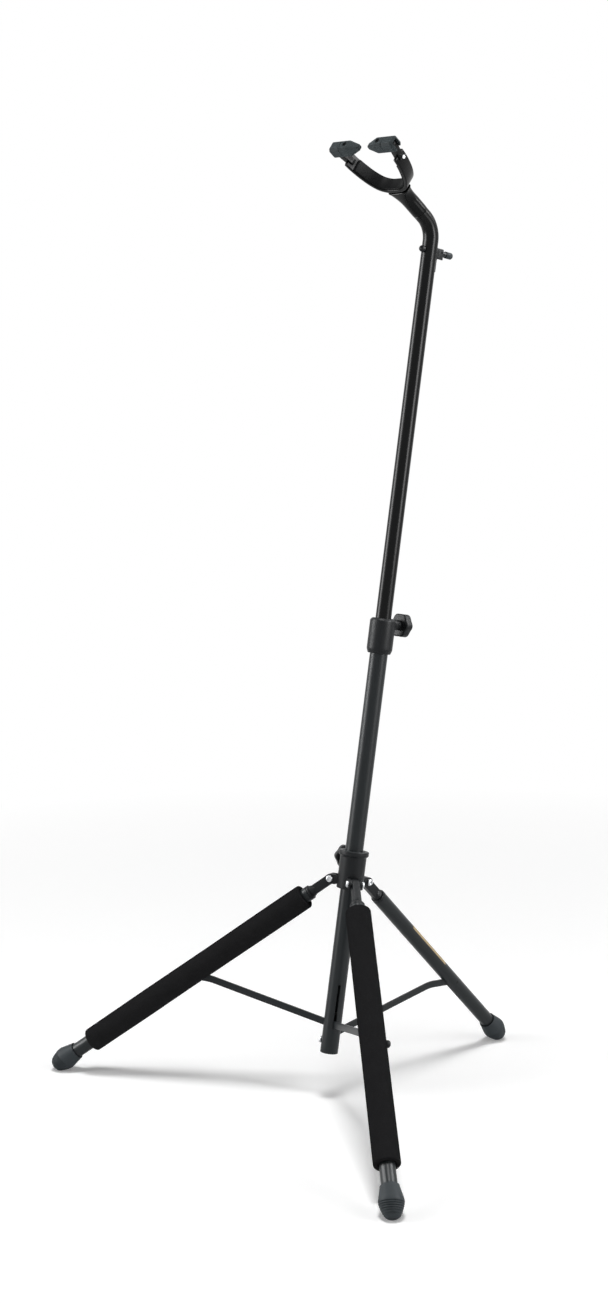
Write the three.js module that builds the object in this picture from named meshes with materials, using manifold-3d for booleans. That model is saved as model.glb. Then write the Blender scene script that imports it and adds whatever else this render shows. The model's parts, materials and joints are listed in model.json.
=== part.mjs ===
import * as THREE from "three";
import { mergeVertices } from "three/addons/utils/BufferGeometryUtils.js";
import Module from "manifold-3d";

const wasm = await Module();
wasm.setup();

// Folding floor stand: millimetres, +Z up, the front of the stand faces -Y and its left is -X.
const degrees = Math.PI / 180;
const half = 1 / 2;
const turn = 2 * Math.PI;
const gap = 0.3;

// Stance: the mast leans back and three legs stand around it.
const mastLean = 10.35 * degrees;
const frontSplay = 48.35 * degrees;
const rearSplay = 53.84 * degrees;
const legSpacing = turn / 3;
const rearAzimuth = turn / 4;
const frontFootReach = 498;
const hubPivotRadius = 27;
const foldTravel = 262;

// Mast tubes, measured along the mast from the point where the leg lines meet.
const lowerTubeRadius = 12.25;
const tubeWall = 1.2;
const tubePlay = 0.35;
const lowerTubeBore = lowerTubeRadius - tubeWall;
const upperTubeRadius = lowerTubeBore - tubePlay;
const lowerTubeBottom = -260.2;
const lowerTubeTop = 322;
const upperTubeBottom = 72;
const bendStart = 846;
const bendRadius = 34;
const bendAngle = 62 * degrees;
const bendTail = 10;
const bendSteps = 8;
const glideLength = 26;
const glideLip = 3;
const glideWall = 4.2;

// Spreader bars: a level end near the leg and a rising stretch down to the mast.
const barHeight = 9.4;
const barThick = 3;
const barPivotInset = 3.05;
const barPivotRadius = lowerTubeBore - barPivotInset;
const barPinRadius = 1.8;
const barPinLength = 9;
const frontBarPivot = -220.2;
const rearBarPivot = -233.5;
const frontBendOut = 185;
const frontBendHeight = -190.6;
const rearBendOut = 181.4;
const rearBendHeight = -174.5;
const frontLegPivot = 253.9;
const rearLegPivot = 249;
const blockBottom = -254;
const blockTop = -207;
const blockScrewHeight = -244.5;
const blockScrewHeadRadius = 4.7;
const blockScrewHead = 3.4;
const blockScrewRadius = 2;
const blockScrewDepth = 5;
const slotPlay = 0.4;

// Legs, measured from the hub pivot.
const legRadius = 10.1;
const legWall = 1.2;
const legTubeStart = 38;
const legPlugDepth = 24;
const lugHalfWidth = 5;
const lugRadius = 6.6;
const lugCollar = 3;
const sleeveRadius = 17.1;
const sleeveStart = 46;
const sleeveToFoot = 28.4;
const sleeveSplitPlay = 1.2;
const legBoltRadius = 2.5;
const legBoltHeadRadius = 4.9;
const legBoltHead = 5.4;
const legBoltProud = 0.4;

// Rubber foot, turned about the leg, measured from its blunt end.
const footLength = 41;
const footTubeDepth = 22;
const footMouth = 11.7;
const footLip = 12.2;
const footLipHeight = 1.6;
const footWidest = 16;
// Its outline, as shares of the widest radius and of the length.
const footShares = [
  [0.42, 0],
  [0.54, 0.025],
  [0.66, 0.075],
  [0.75, 0.14],
  [0.86, 0.26],
  [0.94, 0.35],
  [0.985, 0.43],
  [1, 0.52],
  [0.965, 0.6],
  [0.79, 0.92],
];
const footRings = 6;
const footRingDepth = 0.6;
const footRingStart = 9.8;
const footRingEnd = 26.6;
const footFlat = 1.2;

// Leg hub: a collar that slides on the lower tube and carries the leg pivots.
const hubRadius = 18;
const hubBushWall = 1.7;
const hubBottom = -34;
const hubTop = 18;
const hubFlangeRadius = 20.5;
const hubFlange = 6;
const earRadius = 6.6;
const earThick = 4.2;
const hubScrewRadius = 2.5;
const hubScrewHeadRadius = 4.6;
const hubScrewHead = 3;
const bossRadius = 8.5;
const bossLength = 26;
const hubKnobHeight = 4;

// Knobs: a lobed grip on a threaded stud.
const knobRadius = 17;
const knobLobes = 6;
const knobLobeDepth = 1.8;
const knobThick = 13;
const knobEdge = 1.6;
const knobNeckRadius = 7;
const knobNeck = 5;
const studRadius = 3;
const knobPoints = 36;

// Height clamp on top of the lower tube.
const clampRadius = 17.5;
const clampOverlap = 34;
const clampRise = 14;
const clampBottom = lowerTubeTop - clampOverlap;
const clampTop = lowerTubeTop + clampRise;
const clampSkirt = 3.2;
const clampShelf = 6;
const clampMouthRound = 3;
const clampBushWall = 1.5;
const clampKnobDrop = 7;
const clampKnobHeight = clampTop - clampKnobDrop;
const clampBossRadius = 7.5;
const clampBossLength = 25;
const clampBushLift = 1;
const clampBushBottom = lowerTubeTop + clampBushLift;

// Bow holder on the back of the upper tube.
const bowBelowBend = 12;
const bowHeight = bendStart - bowBelowBend;
const bowPegRadius = 3.8;
const bowPegReach = 30.5;
const bowCapRadius = 4.6;
const bowCapLength = 11;
const bowPivotProud = 7.1;
const bowPivotOut = upperTubeRadius + bowPivotProud;
const bowPlateHalfWidth = 4;
const bowPlateThick = 1.6;
const bowPlateBelow = 27;
const bowPlateAbove = 6;
const bowCheekHalfWidth = 6.4;
const bowCheekThick = 2;
const bowCheekBelow = 9.5;
const bowCheekAbove = 5;
const bowCheekPast = 3.4;
const bowPinRadius = 1.4;
const bowHubRadius = 4.2;
const bowBoltRadius = 2;
const bowNutRadius = 4.4;
const bowNut = 7;

// Yoke: X across, F forward along the end of the bent tube, N square to both.
const neckLength = 47.5;
const neckSpigot = 9;
const neckRadius = 11;
const neckEdge = 1.2;
const neckFlareHalfWidth = 18.5;
const neckFlareHalfHeight = 9.8;
const neckFlareDrop = 1.6;
// Where each ring of the neck lies, and how much of the flare's width, height, drop and squareness it has.
const neckRingShares = [
  [0.34, 0, 0, 0, 0],
  [0.59, 0.07, 0.5, 0.25, 0.2],
  [0.82, 0.41, 0.85, 0.75, 0.6],
  [1, 1, 1, 1, 1],
];
const neckPinRadius = 2.6;
const neckPinAt = 15;
const neckPinProud = 0.5;
const neckPinDepth = 5;
const stemHalfWidth = 6;
const stemHalfHeight = 4;
const stemLength = 20;
const pressTravel = 12;
const forkHalfSpread = 46.5;
const forkDepth = 58;
// Points of the right half of the fork's centre line, as shares of its half spread and depth.
const forkPathShares = [
  [0, 0],
  [0.28, 0.014],
  [0.54, 0.112],
  [0.73, 0.302],
  [0.87, 0.552],
  [0.957, 0.793],
  [1, 1],
];
const forkOffset = 51.5;
const forkWall = 5;
const forkHalfHeight = 10;
const forkEdge = 0.9;
const forkSteps = 22;
const linerWall = 2.2;
const linerHalfHeight = 9;
const linerShare = 0.84;
const tongueHalfHeight = 4.3;
const tongueHalfWidth = 5;
const linkPinRadius = 2.4;
const linkPinBack = 6;
const linkPinProud = 2.2;

// Gates that close in front of the held neck.
const gateAcross = 51.5;
const gateAhead = 18.5;
const gateForward = forkOffset + forkDepth + gateAhead;
const gateOuter = 60;
const gateSeam = 40;
const gateTip = 9.5;
const gateTaper = 27;
const gateHalfWidth = 8.8;
const gateHalfHeight = 8.6;
const gateTipHalfWidth = 3.2;
const gateTipHalfHeight = 3.6;
const gateChamfer = 3.2;
const gateTipChamfer = 1.2;
const gateWall = 3.5;
const gateSlotFront = 7.2;
const gatePinRadius = 2;
const gateTongueHalf = 3.6;
const gateTongueLength = 20;
const gateTongueHalfHeight = 3.2;
const padScrewBack = 9;
const padScrewRadius = 1.9;
const padScrewHeadRadius = 3.2;
const padScrewHead = 2;
const padScrewSink = 1.2;

// Facets of round shapes.
const fine = 32;
const medium = 20;
const coarse = 12;
const arcSteps = 5;
const weld = 1e-4;
const through = 4;
const deep = 60;
const floorReach = 1500;

const vec = (x, y, z) => new THREE.Vector3(x, y, z);
const shift = (x, y, z) => new THREE.Matrix4().makeTranslation(x, y, z);
const aboutX = (angle) => new THREE.Matrix4().makeRotationX(angle);
const aboutY = (angle) => new THREE.Matrix4().makeRotationY(angle);
const aboutZ = (angle) => new THREE.Matrix4().makeRotationZ(angle);
const chain = (...matrices) => matrices.reduce((all, next) => all.clone().multiply(next));

// A solid for the booleans from any closed three.js geometry.
function solid(geometry, matrix = new THREE.Matrix4()) {
  const bare = geometry.clone();
  bare.deleteAttribute("normal");
  bare.deleteAttribute("uv");
  bare.applyMatrix4(matrix);
  const merged = mergeVertices(bare, weld);
  const corners = merged.index.array;
  const triangles = [];
  for (let i = 0; i < corners.length; i += 3) {
    const [a, b, c] = corners.slice(i, i + 3);
    if (a !== b && b !== c && c !== a) triangles.push(a, b, c);
  }
  const build = (list) =>
    new wasm.Manifold(
      new wasm.Mesh({
        numProp: 3,
        vertProperties: new Float32Array(merged.attributes.position.array),
        triVerts: new Uint32Array(list),
      }),
    );
  const made = build(triangles);
  if (made.volume() > 0) return made;
  return build(triangles.reverse());
}

// A solid from a list of rings of points, closed with a fan at each end.
function loft(rings) {
  const count = rings[0].length;
  const points = rings.flat();
  const ends = [rings[0], rings[rings.length - 1]].map((ring) =>
    ring.reduce((sum, p) => sum.add(p), vec(0, 0, 0)).divideScalar(count),
  );
  const index = [];
  for (let k = 0; k + 1 < rings.length; k++)
    for (let i = 0; i < count; i++) {
      const j = (i + 1) % count;
      const [a, b, c, d] = [k * count + i, k * count + j, (k + 1) * count + j, (k + 1) * count + i];
      index.push(a, b, c, a, c, d);
    }
  const first = points.length;
  const last = first + 1;
  const top = (rings.length - 1) * count;
  for (let i = 0; i < count; i++) {
    const j = (i + 1) % count;
    index.push(first, j, i);
    index.push(last, top + i, top + j);
  }
  const geometry = new THREE.BufferGeometry().setFromPoints([...points, ...ends]);
  geometry.setIndex(index);
  return solid(geometry);
}

// Turns the Z axis of a shape onto the line from one point to another.
function along(from, to) {
  const way = to.clone().sub(from).normalize();
  const spin = new THREE.Quaternion().setFromUnitVectors(vec(0, 0, 1), way);
  return new THREE.Matrix4().compose(from, spin, vec(1, 1, 1));
}

// A round rod between two points.
function rod(radius, from, to, facets = medium) {
  const length = from.distanceTo(to);
  const shape = new THREE.CylinderGeometry(radius, radius, length, facets);
  const place = chain(along(from, to), shift(0, 0, length * half), aboutX(turn / 4));
  return solid(shape, chain(place, aboutY((turn / facets) * half)));
}

// A turned solid from [radius, height] points, its axis on the line from one point to another.
function turned(profile, from, to, facets = medium) {
  const points = profile.map(([r, h]) => new THREE.Vector2(r, h));
  return solid(new THREE.LatheGeometry(points, facets), chain(along(from, to), aboutX(turn / 4)));
}

// A box from its low corner to its high corner.
function box(low, high) {
  const size = high.clone().sub(low);
  const middle = high.clone().add(low).multiplyScalar(half);
  return solid(new THREE.BoxGeometry(size.x, size.y, size.z), shift(middle.x, middle.y, middle.z));
}

// A flat plate in the XZ plane with round ends, from one point to another, centred on Y.
function strap(radius, thick, from, to) {
  const shape = new THREE.Shape();
  const way = Math.atan2(to.y - from.y, to.x - from.x);
  shape.absarc(to.x, to.y, radius, way - turn / 4, way + turn / 4, false);
  shape.absarc(from.x, from.y, radius, way + turn / 4, way + (3 * turn) / 4, false);
  const options = { depth: thick, bevelEnabled: false, curveSegments: arcSteps };
  const upright = chain(aboutX(turn / 4), shift(0, 0, -thick * half));
  return solid(new THREE.ExtrudeGeometry(shape, options), upright);
}

// A path through listed points that an extrusion visits one by one.
class PointPath extends THREE.Curve {
  constructor(points) {
    super();
    this.points = points;
  }
  getUtoTmapping(share) {
    return share;
  }
  getPoint(share) {
    const place = Math.min(Math.max(share, 0), 1) * (this.points.length - 1);
    const low = Math.min(Math.floor(place), this.points.length - 2);
    return this.points[low].clone().lerp(this.points[low + 1], place - low);
  }
}

// A tube swept along listed points.
function sweptTube(outer, inner, points) {
  const first = (turn / fine) * half;
  const ring = new THREE.Shape();
  ring.absarc(0, 0, outer, first, first + turn, false);
  const bore = new THREE.Path();
  bore.absarc(0, 0, inner, first, first - turn, true);
  ring.holes.push(bore);
  const extrudePath = new PointPath(points);
  const options = { steps: points.length - 1, extrudePath, curveSegments: fine * half };
  return solid(new THREE.ExtrudeGeometry(ring, options));
}

// A round tube between two points.
const pipe = (outer, inner, from, to) => sweptTube(outer, inner, [from, to]);

const nodes = new THREE.Group();

// Adds a finished solid to the part under its name.
function add(name, made, colour, look = {}) {
  const mesh = made.getMesh();
  const geometry = new THREE.BufferGeometry();
  geometry.setAttribute("position", new THREE.BufferAttribute(mesh.vertProperties, 3));
  geometry.setIndex(new THREE.BufferAttribute(mesh.triVerts, 1));
  geometry.computeVertexNormals();
  const material = new THREE.MeshStandardMaterial({ color: colour, roughness: 0.5, ...look });
  const node = new THREE.Mesh(geometry, material);
  node.name = name;
  nodes.add(node);
  return node;
}
const paint = 0x1c1e20;
const plastic = 0x232628;
const rubber = 0x2b2e30;
const grip = 0x42484a;
const foam = 0x0f0f10;
const steel = { metalness: 1, roughness: 0.3 };
const steelColour = 0x9a9c9e;

// The mast frame: Z along the mast, Y to the back, origin where the leg lines meet.
const hubPivotHeight = -hubPivotRadius / Math.tan(frontSplay);
const legs = [
  { name: "left", azimuth: rearAzimuth + legSpacing, side: -1, splay: frontSplay, front: true },
  { name: "right", azimuth: rearAzimuth - legSpacing, side: 1, splay: frontSplay, front: true },
  { name: "rear", azimuth: rearAzimuth, side: 1, splay: rearSplay, front: false },
];

// The rise of a leg above the floor, as the sine of its angle.
const legRise = (leg) =>
  Math.sin(leg.splay) * Math.sin(leg.azimuth) * Math.sin(mastLean) + Math.cos(leg.splay) * Math.cos(mastLean);
const pivotDrop = (leg) =>
  hubPivotRadius * Math.sin(leg.azimuth) * Math.sin(mastLean) - hubPivotHeight * Math.cos(mastLean);

// Height of the end of a foot's axis above the floor, the foot cut flat where it rests.
const footDrop = (rise) => {
  const drop = ([r, h]) => r * footWidest * Math.sqrt(1 - rise * rise) - h * footLength * rise;
  return Math.max(...footShares.map(drop)) - footFlat;
};
const frontRise = legRise(legs[0]);
const hubHeight = pivotDrop(legs[0]) + frontFootReach * frontRise + footDrop(frontRise);
for (const leg of legs) {
  const rise = legRise(leg);
  leg.footEnd = (hubHeight - pivotDrop(leg) - footDrop(rise)) / rise;
  leg.down = vec(Math.sin(leg.splay), 0, -Math.cos(leg.splay));
  leg.top = vec(hubPivotRadius, 0, hubPivotHeight);
  leg.at = (distance) => leg.top.clone().addScaledVector(leg.down, distance);
  leg.barPivot = leg.at(leg.front ? frontLegPivot : rearLegPivot);
  leg.mastPivot = vec(barPivotRadius, 0, leg.front ? frontBarPivot : rearBarPivot);
  leg.bend = leg.front ? vec(frontBendOut, 0, frontBendHeight) : vec(rearBendOut, 0, rearBendHeight);
}

// The folded places of a leg's bar: where two circles meet with the hub at its top.
function folded(leg) {
  const hub = leg.top.clone().add(vec(0, 0, foldTravel));
  const legReach = leg.barPivot.distanceTo(leg.top);
  const barReach = leg.barPivot.distanceTo(leg.mastPivot);
  const base = leg.mastPivot.clone().sub(hub);
  const span = base.length();
  const share = (legReach ** 2 - barReach ** 2 + span ** 2) / (2 * span ** 2);
  const side = Math.sqrt(legReach ** 2 - (share * span) ** 2) / span;
  const joint = hub.clone().addScaledVector(base, share).add(vec(-base.z, 0, base.x).multiplyScalar(side));
  const turnOf = (a, b) => Math.atan2(b.z - a.z, b.x - a.x);
  const barTurn = turnOf(leg.mastPivot, joint) - turnOf(leg.mastPivot, leg.barPivot);
  const bend = leg.bend.clone().sub(leg.mastPivot);
  const bendNow = leg.mastPivot.clone().add(
    vec(
      bend.x * Math.cos(barTurn) - bend.z * Math.sin(barTurn),
      0,
      bend.x * Math.sin(barTurn) + bend.z * Math.cos(barTurn),
    ),
  );
  const down = joint.clone().sub(hub).normalize();
  return { hub, joint, down, barTurn, bend: bendNow };
}

// How far along one axis a bent bar has come when it is clear of a radius.
function crossing(points, radius, out, way) {
  const level = radius + gap + barHeight * half;
  let reach = 0;
  for (let k = 0; k + 1 < points.length; k++) {
    const [a, b] = [points[k].dot(out), points[k + 1].dot(out)];
    const [low, high] = [points[k].dot(way), points[k + 1].dot(way)];
    const share = THREE.MathUtils.clamp((level - a) / (b - a), 0, 1);
    reach = low + (high - low) * share;
    if (b >= level) break;
  }
  return reach + barHeight * half;
}

const slotWidth = barThick + 2 * slotPlay;
const barHalf = barHeight * half;
const toward = (leg) => aboutZ(leg.azimuth);

// Slots of the lower tube, one for each bar, long enough for the folded bar.
for (const leg of legs) {
  const fold = folded(leg);
  leg.fold = fold;
  leg.slotTop = crossing([leg.mastPivot, fold.bend, fold.joint], lowerTubeRadius, vec(1, 0, 0), vec(0, 0, 1));
  leg.slotBottom = leg.mastPivot.z - barHalf - slotPlay;
}

// Cuts a solid with a tool given in a leg's own frame.
const inLegFrame = (leg, tool) => tool.transform(toward(leg).elements);
const onAxis = (height) => vec(0, 0, height);
const clearOf = (radius) => radius + gap;

// Lower mast tube.
const screwLeg = legs[0];
const screwAt = (out) => vec(out, 0, blockScrewHeight);
let lowerTube = pipe(lowerTubeRadius, lowerTubeBore, onAxis(lowerTubeBottom), onAxis(lowerTubeTop));
for (const leg of legs) {
  const low = vec(barPivotRadius, -slotWidth * half, leg.slotBottom);
  const high = vec(lowerTubeRadius + through, slotWidth * half, leg.slotTop);
  lowerTube = lowerTube.subtract(inLegFrame(leg, box(low, high)));
}
const screwRoom = (from, to) =>
  inLegFrame(screwLeg, rod(clearOf(blockScrewRadius), screwAt(from), screwAt(to), coarse));
lowerTube = lowerTube.subtract(screwRoom(barPivotRadius, lowerTubeRadius + through));

// Block inside the lower tube that holds the inner ends of the bars.
const blockRadius = lowerTubeBore - gap;
let block = rod(blockRadius, onAxis(blockBottom), onAxis(blockTop), fine);
const pinAt = (leg, across) => vec(barPivotRadius, across, leg.mastPivot.z);
for (const leg of legs) {
  const low = vec(barPivotRadius - barHalf - slotPlay, -slotWidth * half, leg.slotBottom);
  const high = vec(blockRadius + through, slotWidth * half, blockTop + through);
  block = block.subtract(inLegFrame(leg, box(low, high)));
  const ends = [-barPinLength * half - gap, barPinLength * half + gap].map((across) => pinAt(leg, across));
  block = block.subtract(inLegFrame(leg, rod(clearOf(barPinRadius), ...ends, coarse)));
}
const screwIn = blockRadius - blockScrewDepth;
block = block.subtract(screwRoom(screwIn - gap, blockRadius + through));
add("spreader_block", block, plastic);

// The fine rings of a foot: grooves in its outline, with a ridge between each two.
function footRingProfile(outline) {
  const radius = (h) => {
    const k = outline.findIndex(([, height]) => height >= h);
    const [low, high] = [outline[k - 1], outline[k]];
    return THREE.MathUtils.mapLinear(h, low[1], high[1], low[0], high[0]);
  };
  const pitch = (footRingEnd - footRingStart) / footRings;
  const points = [[radius(footRingStart), footRingStart]];
  for (let k = 0; k < footRings; k++) {
    const next = footRingStart + (k + 1) * pitch;
    const groove = next - pitch * half;
    points.push([radius(groove) - footRingDepth, groove], [radius(next), next]);
  }
  return points;
}

const domed = (radius, height) => [
  [radius, 0],
  [radius, height * half],
  [radius * Math.cos(turn / 8), height * (half + half * half)],
  [radius * half, height],
  [0, height],
];
const screwTop = lowerTubeRadius + gap;
const screwHead = [[0, 0], ...domed(blockScrewHeadRadius, blockScrewHead)];
const blockScrew = turned(screwHead, screwAt(screwTop), screwAt(screwTop + blockScrewHead), coarse).add(
  rod(blockScrewRadius, screwAt(screwIn), screwAt(screwTop + blockScrewHead * half), coarse),
);
add("spreader_block_screw", inLegFrame(screwLeg, blockScrew), steelColour, steel);

// Leg assemblies.
for (const leg of legs) {
  const { name, side, down } = leg;
  const under = vec(down.z, 0, -down.x);
  const place = (made) => inLegFrame(leg, made);

  const ends = [-barPinLength * half, barPinLength * half].map((across) => pinAt(leg, across));
  add("spreader_pin_" + name, place(rod(barPinRadius, ...ends, coarse)), steelColour, steel);

  const flat = (p) => new THREE.Vector2(p.x, p.z);
  const eyes = [
    [leg.mastPivot, barPinRadius],
    [leg.barPivot, legBoltRadius],
  ];
  let bar = strap(barHalf, barThick, flat(leg.mastPivot), flat(leg.bend));
  bar = bar.add(strap(barHalf, barThick, flat(leg.bend), flat(leg.barPivot)));
  for (const [eye, radius] of eyes) {
    const across = barThick * half + through;
    bar = bar.subtract(
      rod(clearOf(radius), vec(eye.x, -across, eye.z), vec(eye.x, across, eye.z), coarse),
    );
  }
  add("spreader_bar_" + name, place(bar), paint, { metalness: 0.4 });

  // The slot along the underside of the leg, from the resting bar to the folded bar.
  const path = [leg.barPivot, leg.bend, leg.mastPivot].map((p) => p.clone().sub(leg.barPivot));
  const foldUnder = vec(leg.fold.down.z, 0, -leg.fold.down.x);
  const foldPath = [leg.fold.joint, leg.fold.bend, leg.mastPivot].map((p) => p.clone().sub(leg.fold.joint));
  const up = down.clone().negate();
  const slotTool = (radius, play) => {
    const above = crossing(path, radius, under, up);
    const below = crossing(foldPath, radius, foldUnder, leg.fold.down);
    const wide = barThick * half + play;
    const made = box(vec(-above, -wide, 0), vec(below, wide, radius + through));
    const turnTo = new THREE.Matrix4().makeBasis(down, vec(0, 1, 0), under);
    const flip = turnTo.determinant() < 0 ? vec(0, -1, 0) : vec(0, 1, 0);
    turnTo.makeBasis(down, flip, under).setPosition(leg.barPivot);
    return made.transform(turnTo.elements);
  };
  const legBottom = leg.footEnd - footLength + footTubeDepth;
  const boltAt = (across) => vec(leg.barPivot.x, side * across, leg.barPivot.z);
  const boltHole = (from, to) => rod(clearOf(legBoltRadius), boltAt(from), boltAt(to), coarse);
  let tube = pipe(legRadius, legRadius - legWall, leg.at(legTubeStart), leg.at(legBottom));
  tube = tube.subtract(slotTool(legRadius, slotPlay));
  tube = tube.subtract(boltHole(-legRadius - through, legRadius + through));
  add("leg_tube_" + name, place(tube), paint, { metalness: 0.4 });

  // The moulded lug in the leg's top end, with an eye for the hub screws.
  const plugRadius = legRadius - legWall - gap;
  const lugEnd = legTubeStart + legPlugDepth;
  let lug = rod(plugRadius, leg.at(legTubeStart - gap - lugCollar * half), leg.at(lugEnd), medium);
  lug = lug.add(rod(legRadius, leg.at(legTubeStart - gap - lugCollar), leg.at(legTubeStart - gap), medium));
  const lugFoot = leg.at(legTubeStart - lugRadius - lugCollar * half);
  lug = lug.add(strap(lugRadius, 2 * lugHalfWidth, flat(leg.top), flat(lugFoot)));
  const eyeAcross = lugHalfWidth + through;
  const topEye = [-eyeAcross, eyeAcross].map((across) => vec(leg.top.x, across, leg.top.z));
  lug = lug.subtract(rod(clearOf(hubScrewRadius), ...topEye, coarse));
  add("leg_lug_" + name, place(lug), plastic);

  // Pivot bolt through the leg, its head outside the sleeve.
  const headFrom = (leg.front ? sleeveRadius : legRadius) + legBoltProud;
  const headShape = [[0, 0], ...domed(legBoltHeadRadius, legBoltHead)];
  const bolt = turned(headShape, boltAt(headFrom), boltAt(headFrom + legBoltHead), coarse).add(
    rod(legBoltRadius, boltAt(gap - legRadius), boltAt(headFrom + legBoltHead * half), coarse),
  );
  add("leg_bolt_" + name, place(bolt), plastic, { metalness: 0.5 });

  // Rubber foot with fine rings, cut flat where it stands.
  const mouthAt = footLength - (footLip - footMouth);
  const boreRadius = legRadius + gap;
  const boreEnd = footLength - footTubeDepth - gap;
  const outline = footShares.map(([r, h]) => [r * footWidest, h * footLength]);
  const profile = [
    [0, 0],
    ...outline.filter(([, h]) => h < footRingStart),
    ...footRingProfile(outline),
    ...outline.filter(([, h]) => h > footRingEnd),
    [footLip, mouthAt - footLipHeight],
    [footLip, mouthAt],
    [footMouth, footLength],
    [boreRadius, footLength],
    [boreRadius, boreEnd],
    [0, boreEnd],
  ];
  let foot = turned(profile, leg.at(leg.footEnd), leg.at(leg.footEnd - footLength), medium);
  foot = place(foot);
  const floor = box(vec(-floorReach, -floorReach, -deep), vec(floorReach, floorReach, 0));
  const toMast = chain(aboutX(mastLean), shift(0, 0, -hubHeight));
  foot = foot.subtract(floor.transform(toMast.elements));
  add("foot_" + name, foot, rubber, { roughness: 0.8 });

  if (leg.front) {
    const sleeveEnd = leg.footEnd - footLength - sleeveToFoot;
    let sleeve = pipe(sleeveRadius, legRadius + gap, leg.at(sleeveStart), leg.at(sleeveEnd));
    sleeve = sleeve.subtract(slotTool(sleeveRadius, sleeveSplitPlay));
    sleeve = sleeve.subtract(boltHole(legRadius * half, sleeveRadius + through));
    add("foam_sleeve_" + name, place(sleeve), foam, { roughness: 1 });
  }
}
add("mast_lower_tube", lowerTube, paint, { metalness: 0.4 });

// Leg hub with two ears for each leg.
const hubBore = lowerTubeRadius + gap + hubBushWall + gap;
let hub = pipe(hubRadius, hubBore, onAxis(hubBottom), onAxis(hubTop));
hub = hub.add(pipe(hubFlangeRadius, hubBore, onAxis(hubTop - hubFlange), onAxis(hubTop)));
const earInner = lugHalfWidth + gap;
const earOuter = earInner + earThick;
const earMiddle = (earInner + earOuter) * half;
const boreTool = rod(hubBore, onAxis(hubBottom - through), onAxis(hubTop + through), fine);
const screwSides = [
  ["a", 1],
  ["b", -1],
];
for (const leg of legs) {
  const start = new THREE.Vector2(hubBore, leg.top.z);
  const end = new THREE.Vector2(leg.top.x, leg.top.z);
  for (const [, side] of screwSides) {
    const ear = strap(earRadius, earThick, start, end).translate([0, side * earMiddle, 0]);
    hub = hub.add(inLegFrame(leg, ear));
  }
}
const knobAzimuth = rearAzimuth + legSpacing * half;
const knobFrame = (azimuth, height) => chain(shift(0, 0, height), aboutZ(azimuth));
const boss = (radius, length) => rod(radius, vec(0, 0, 0), vec(length, 0, 0), medium);
const hubKnobFrame = knobFrame(knobAzimuth, hubKnobHeight);
hub = hub.add(boss(bossRadius, bossLength).transform(hubKnobFrame.elements)).subtract(boreTool);
hub = hub.subtract(boss(studRadius + gap, bossLength + through).transform(hubKnobFrame.elements));
for (const leg of legs) {
  const screwEye = [-1, 1].map((side) => vec(leg.top.x, side * (earOuter + through), leg.top.z));
  hub = hub.subtract(inLegFrame(leg, rod(clearOf(hubScrewRadius), ...screwEye, coarse)));
  for (const [letter, side] of screwSides) {
    const eyeAt = (across) => vec(leg.top.x, side * across, leg.top.z);
    const headShape = [[0, 0], ...domed(hubScrewHeadRadius, hubScrewHead)];
    const headAt = earOuter + gap;
    const screw = turned(headShape, eyeAt(headAt), eyeAt(headAt + hubScrewHead), coarse).add(
      rod(hubScrewRadius, eyeAt(earInner), eyeAt(headAt + hubScrewHead * half), coarse),
    );
    add("hub_screw_" + leg.name + "_" + letter, inLegFrame(leg, screw), steelColour, steel);
  }
}
const legRoom = (leg) => {
  const side = lugHalfWidth + gap;
  const high = vec(deep, side, leg.top.z + earRadius + gap);
  return inLegFrame(leg, box(vec(hubBore + gap, -side, leg.top.z - deep), high));
};
for (const leg of legs) hub = hub.subtract(legRoom(leg));
add("hub_collar", hub, plastic);

const bushOuter = hubBore - gap;
let hubBush = pipe(bushOuter, lowerTubeRadius + gap, onAxis(hubBottom), onAxis(hubTop));
hubBush = hubBush.subtract(boss(studRadius + gap, bossLength).transform(hubKnobFrame.elements));
add("hub_bush", hubBush, grip);

// A lobed knob on its stud, in a frame whose X axis points away from the mast.
function knob(studTip, bossEnd) {
  const start = bossEnd + gap;
  const grips = [
    [0, 1 - knobEdge / knobRadius],
    [knobEdge, 1],
    [knobThick - knobEdge, 1],
    [knobThick, 1 - knobEdge / knobRadius],
  ];
  const rings = grips.map(([height, share]) =>
    Array.from({ length: knobPoints }, (_, i) => {
      const angle = (turn * i) / knobPoints;
      const radius = share * (knobRadius - knobLobeDepth * (half + half * Math.cos(knobLobes * angle)));
      return vec(start + knobNeck + height, radius * Math.cos(angle), radius * Math.sin(angle));
    }),
  );
  const neck = rod(knobNeckRadius, vec(start, 0, 0), vec(start + knobNeck + knobEdge, 0, 0), medium);
  const stud = rod(studRadius, vec(studTip, 0, 0), vec(start + knobNeck, 0, 0), coarse);
  return loft(rings).add(neck).add(stud);
}
const hubStudTip = lowerTubeRadius + gap;
add("hub_knob", knob(hubStudTip, bossLength).transform(hubKnobFrame.elements), plastic);

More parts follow.
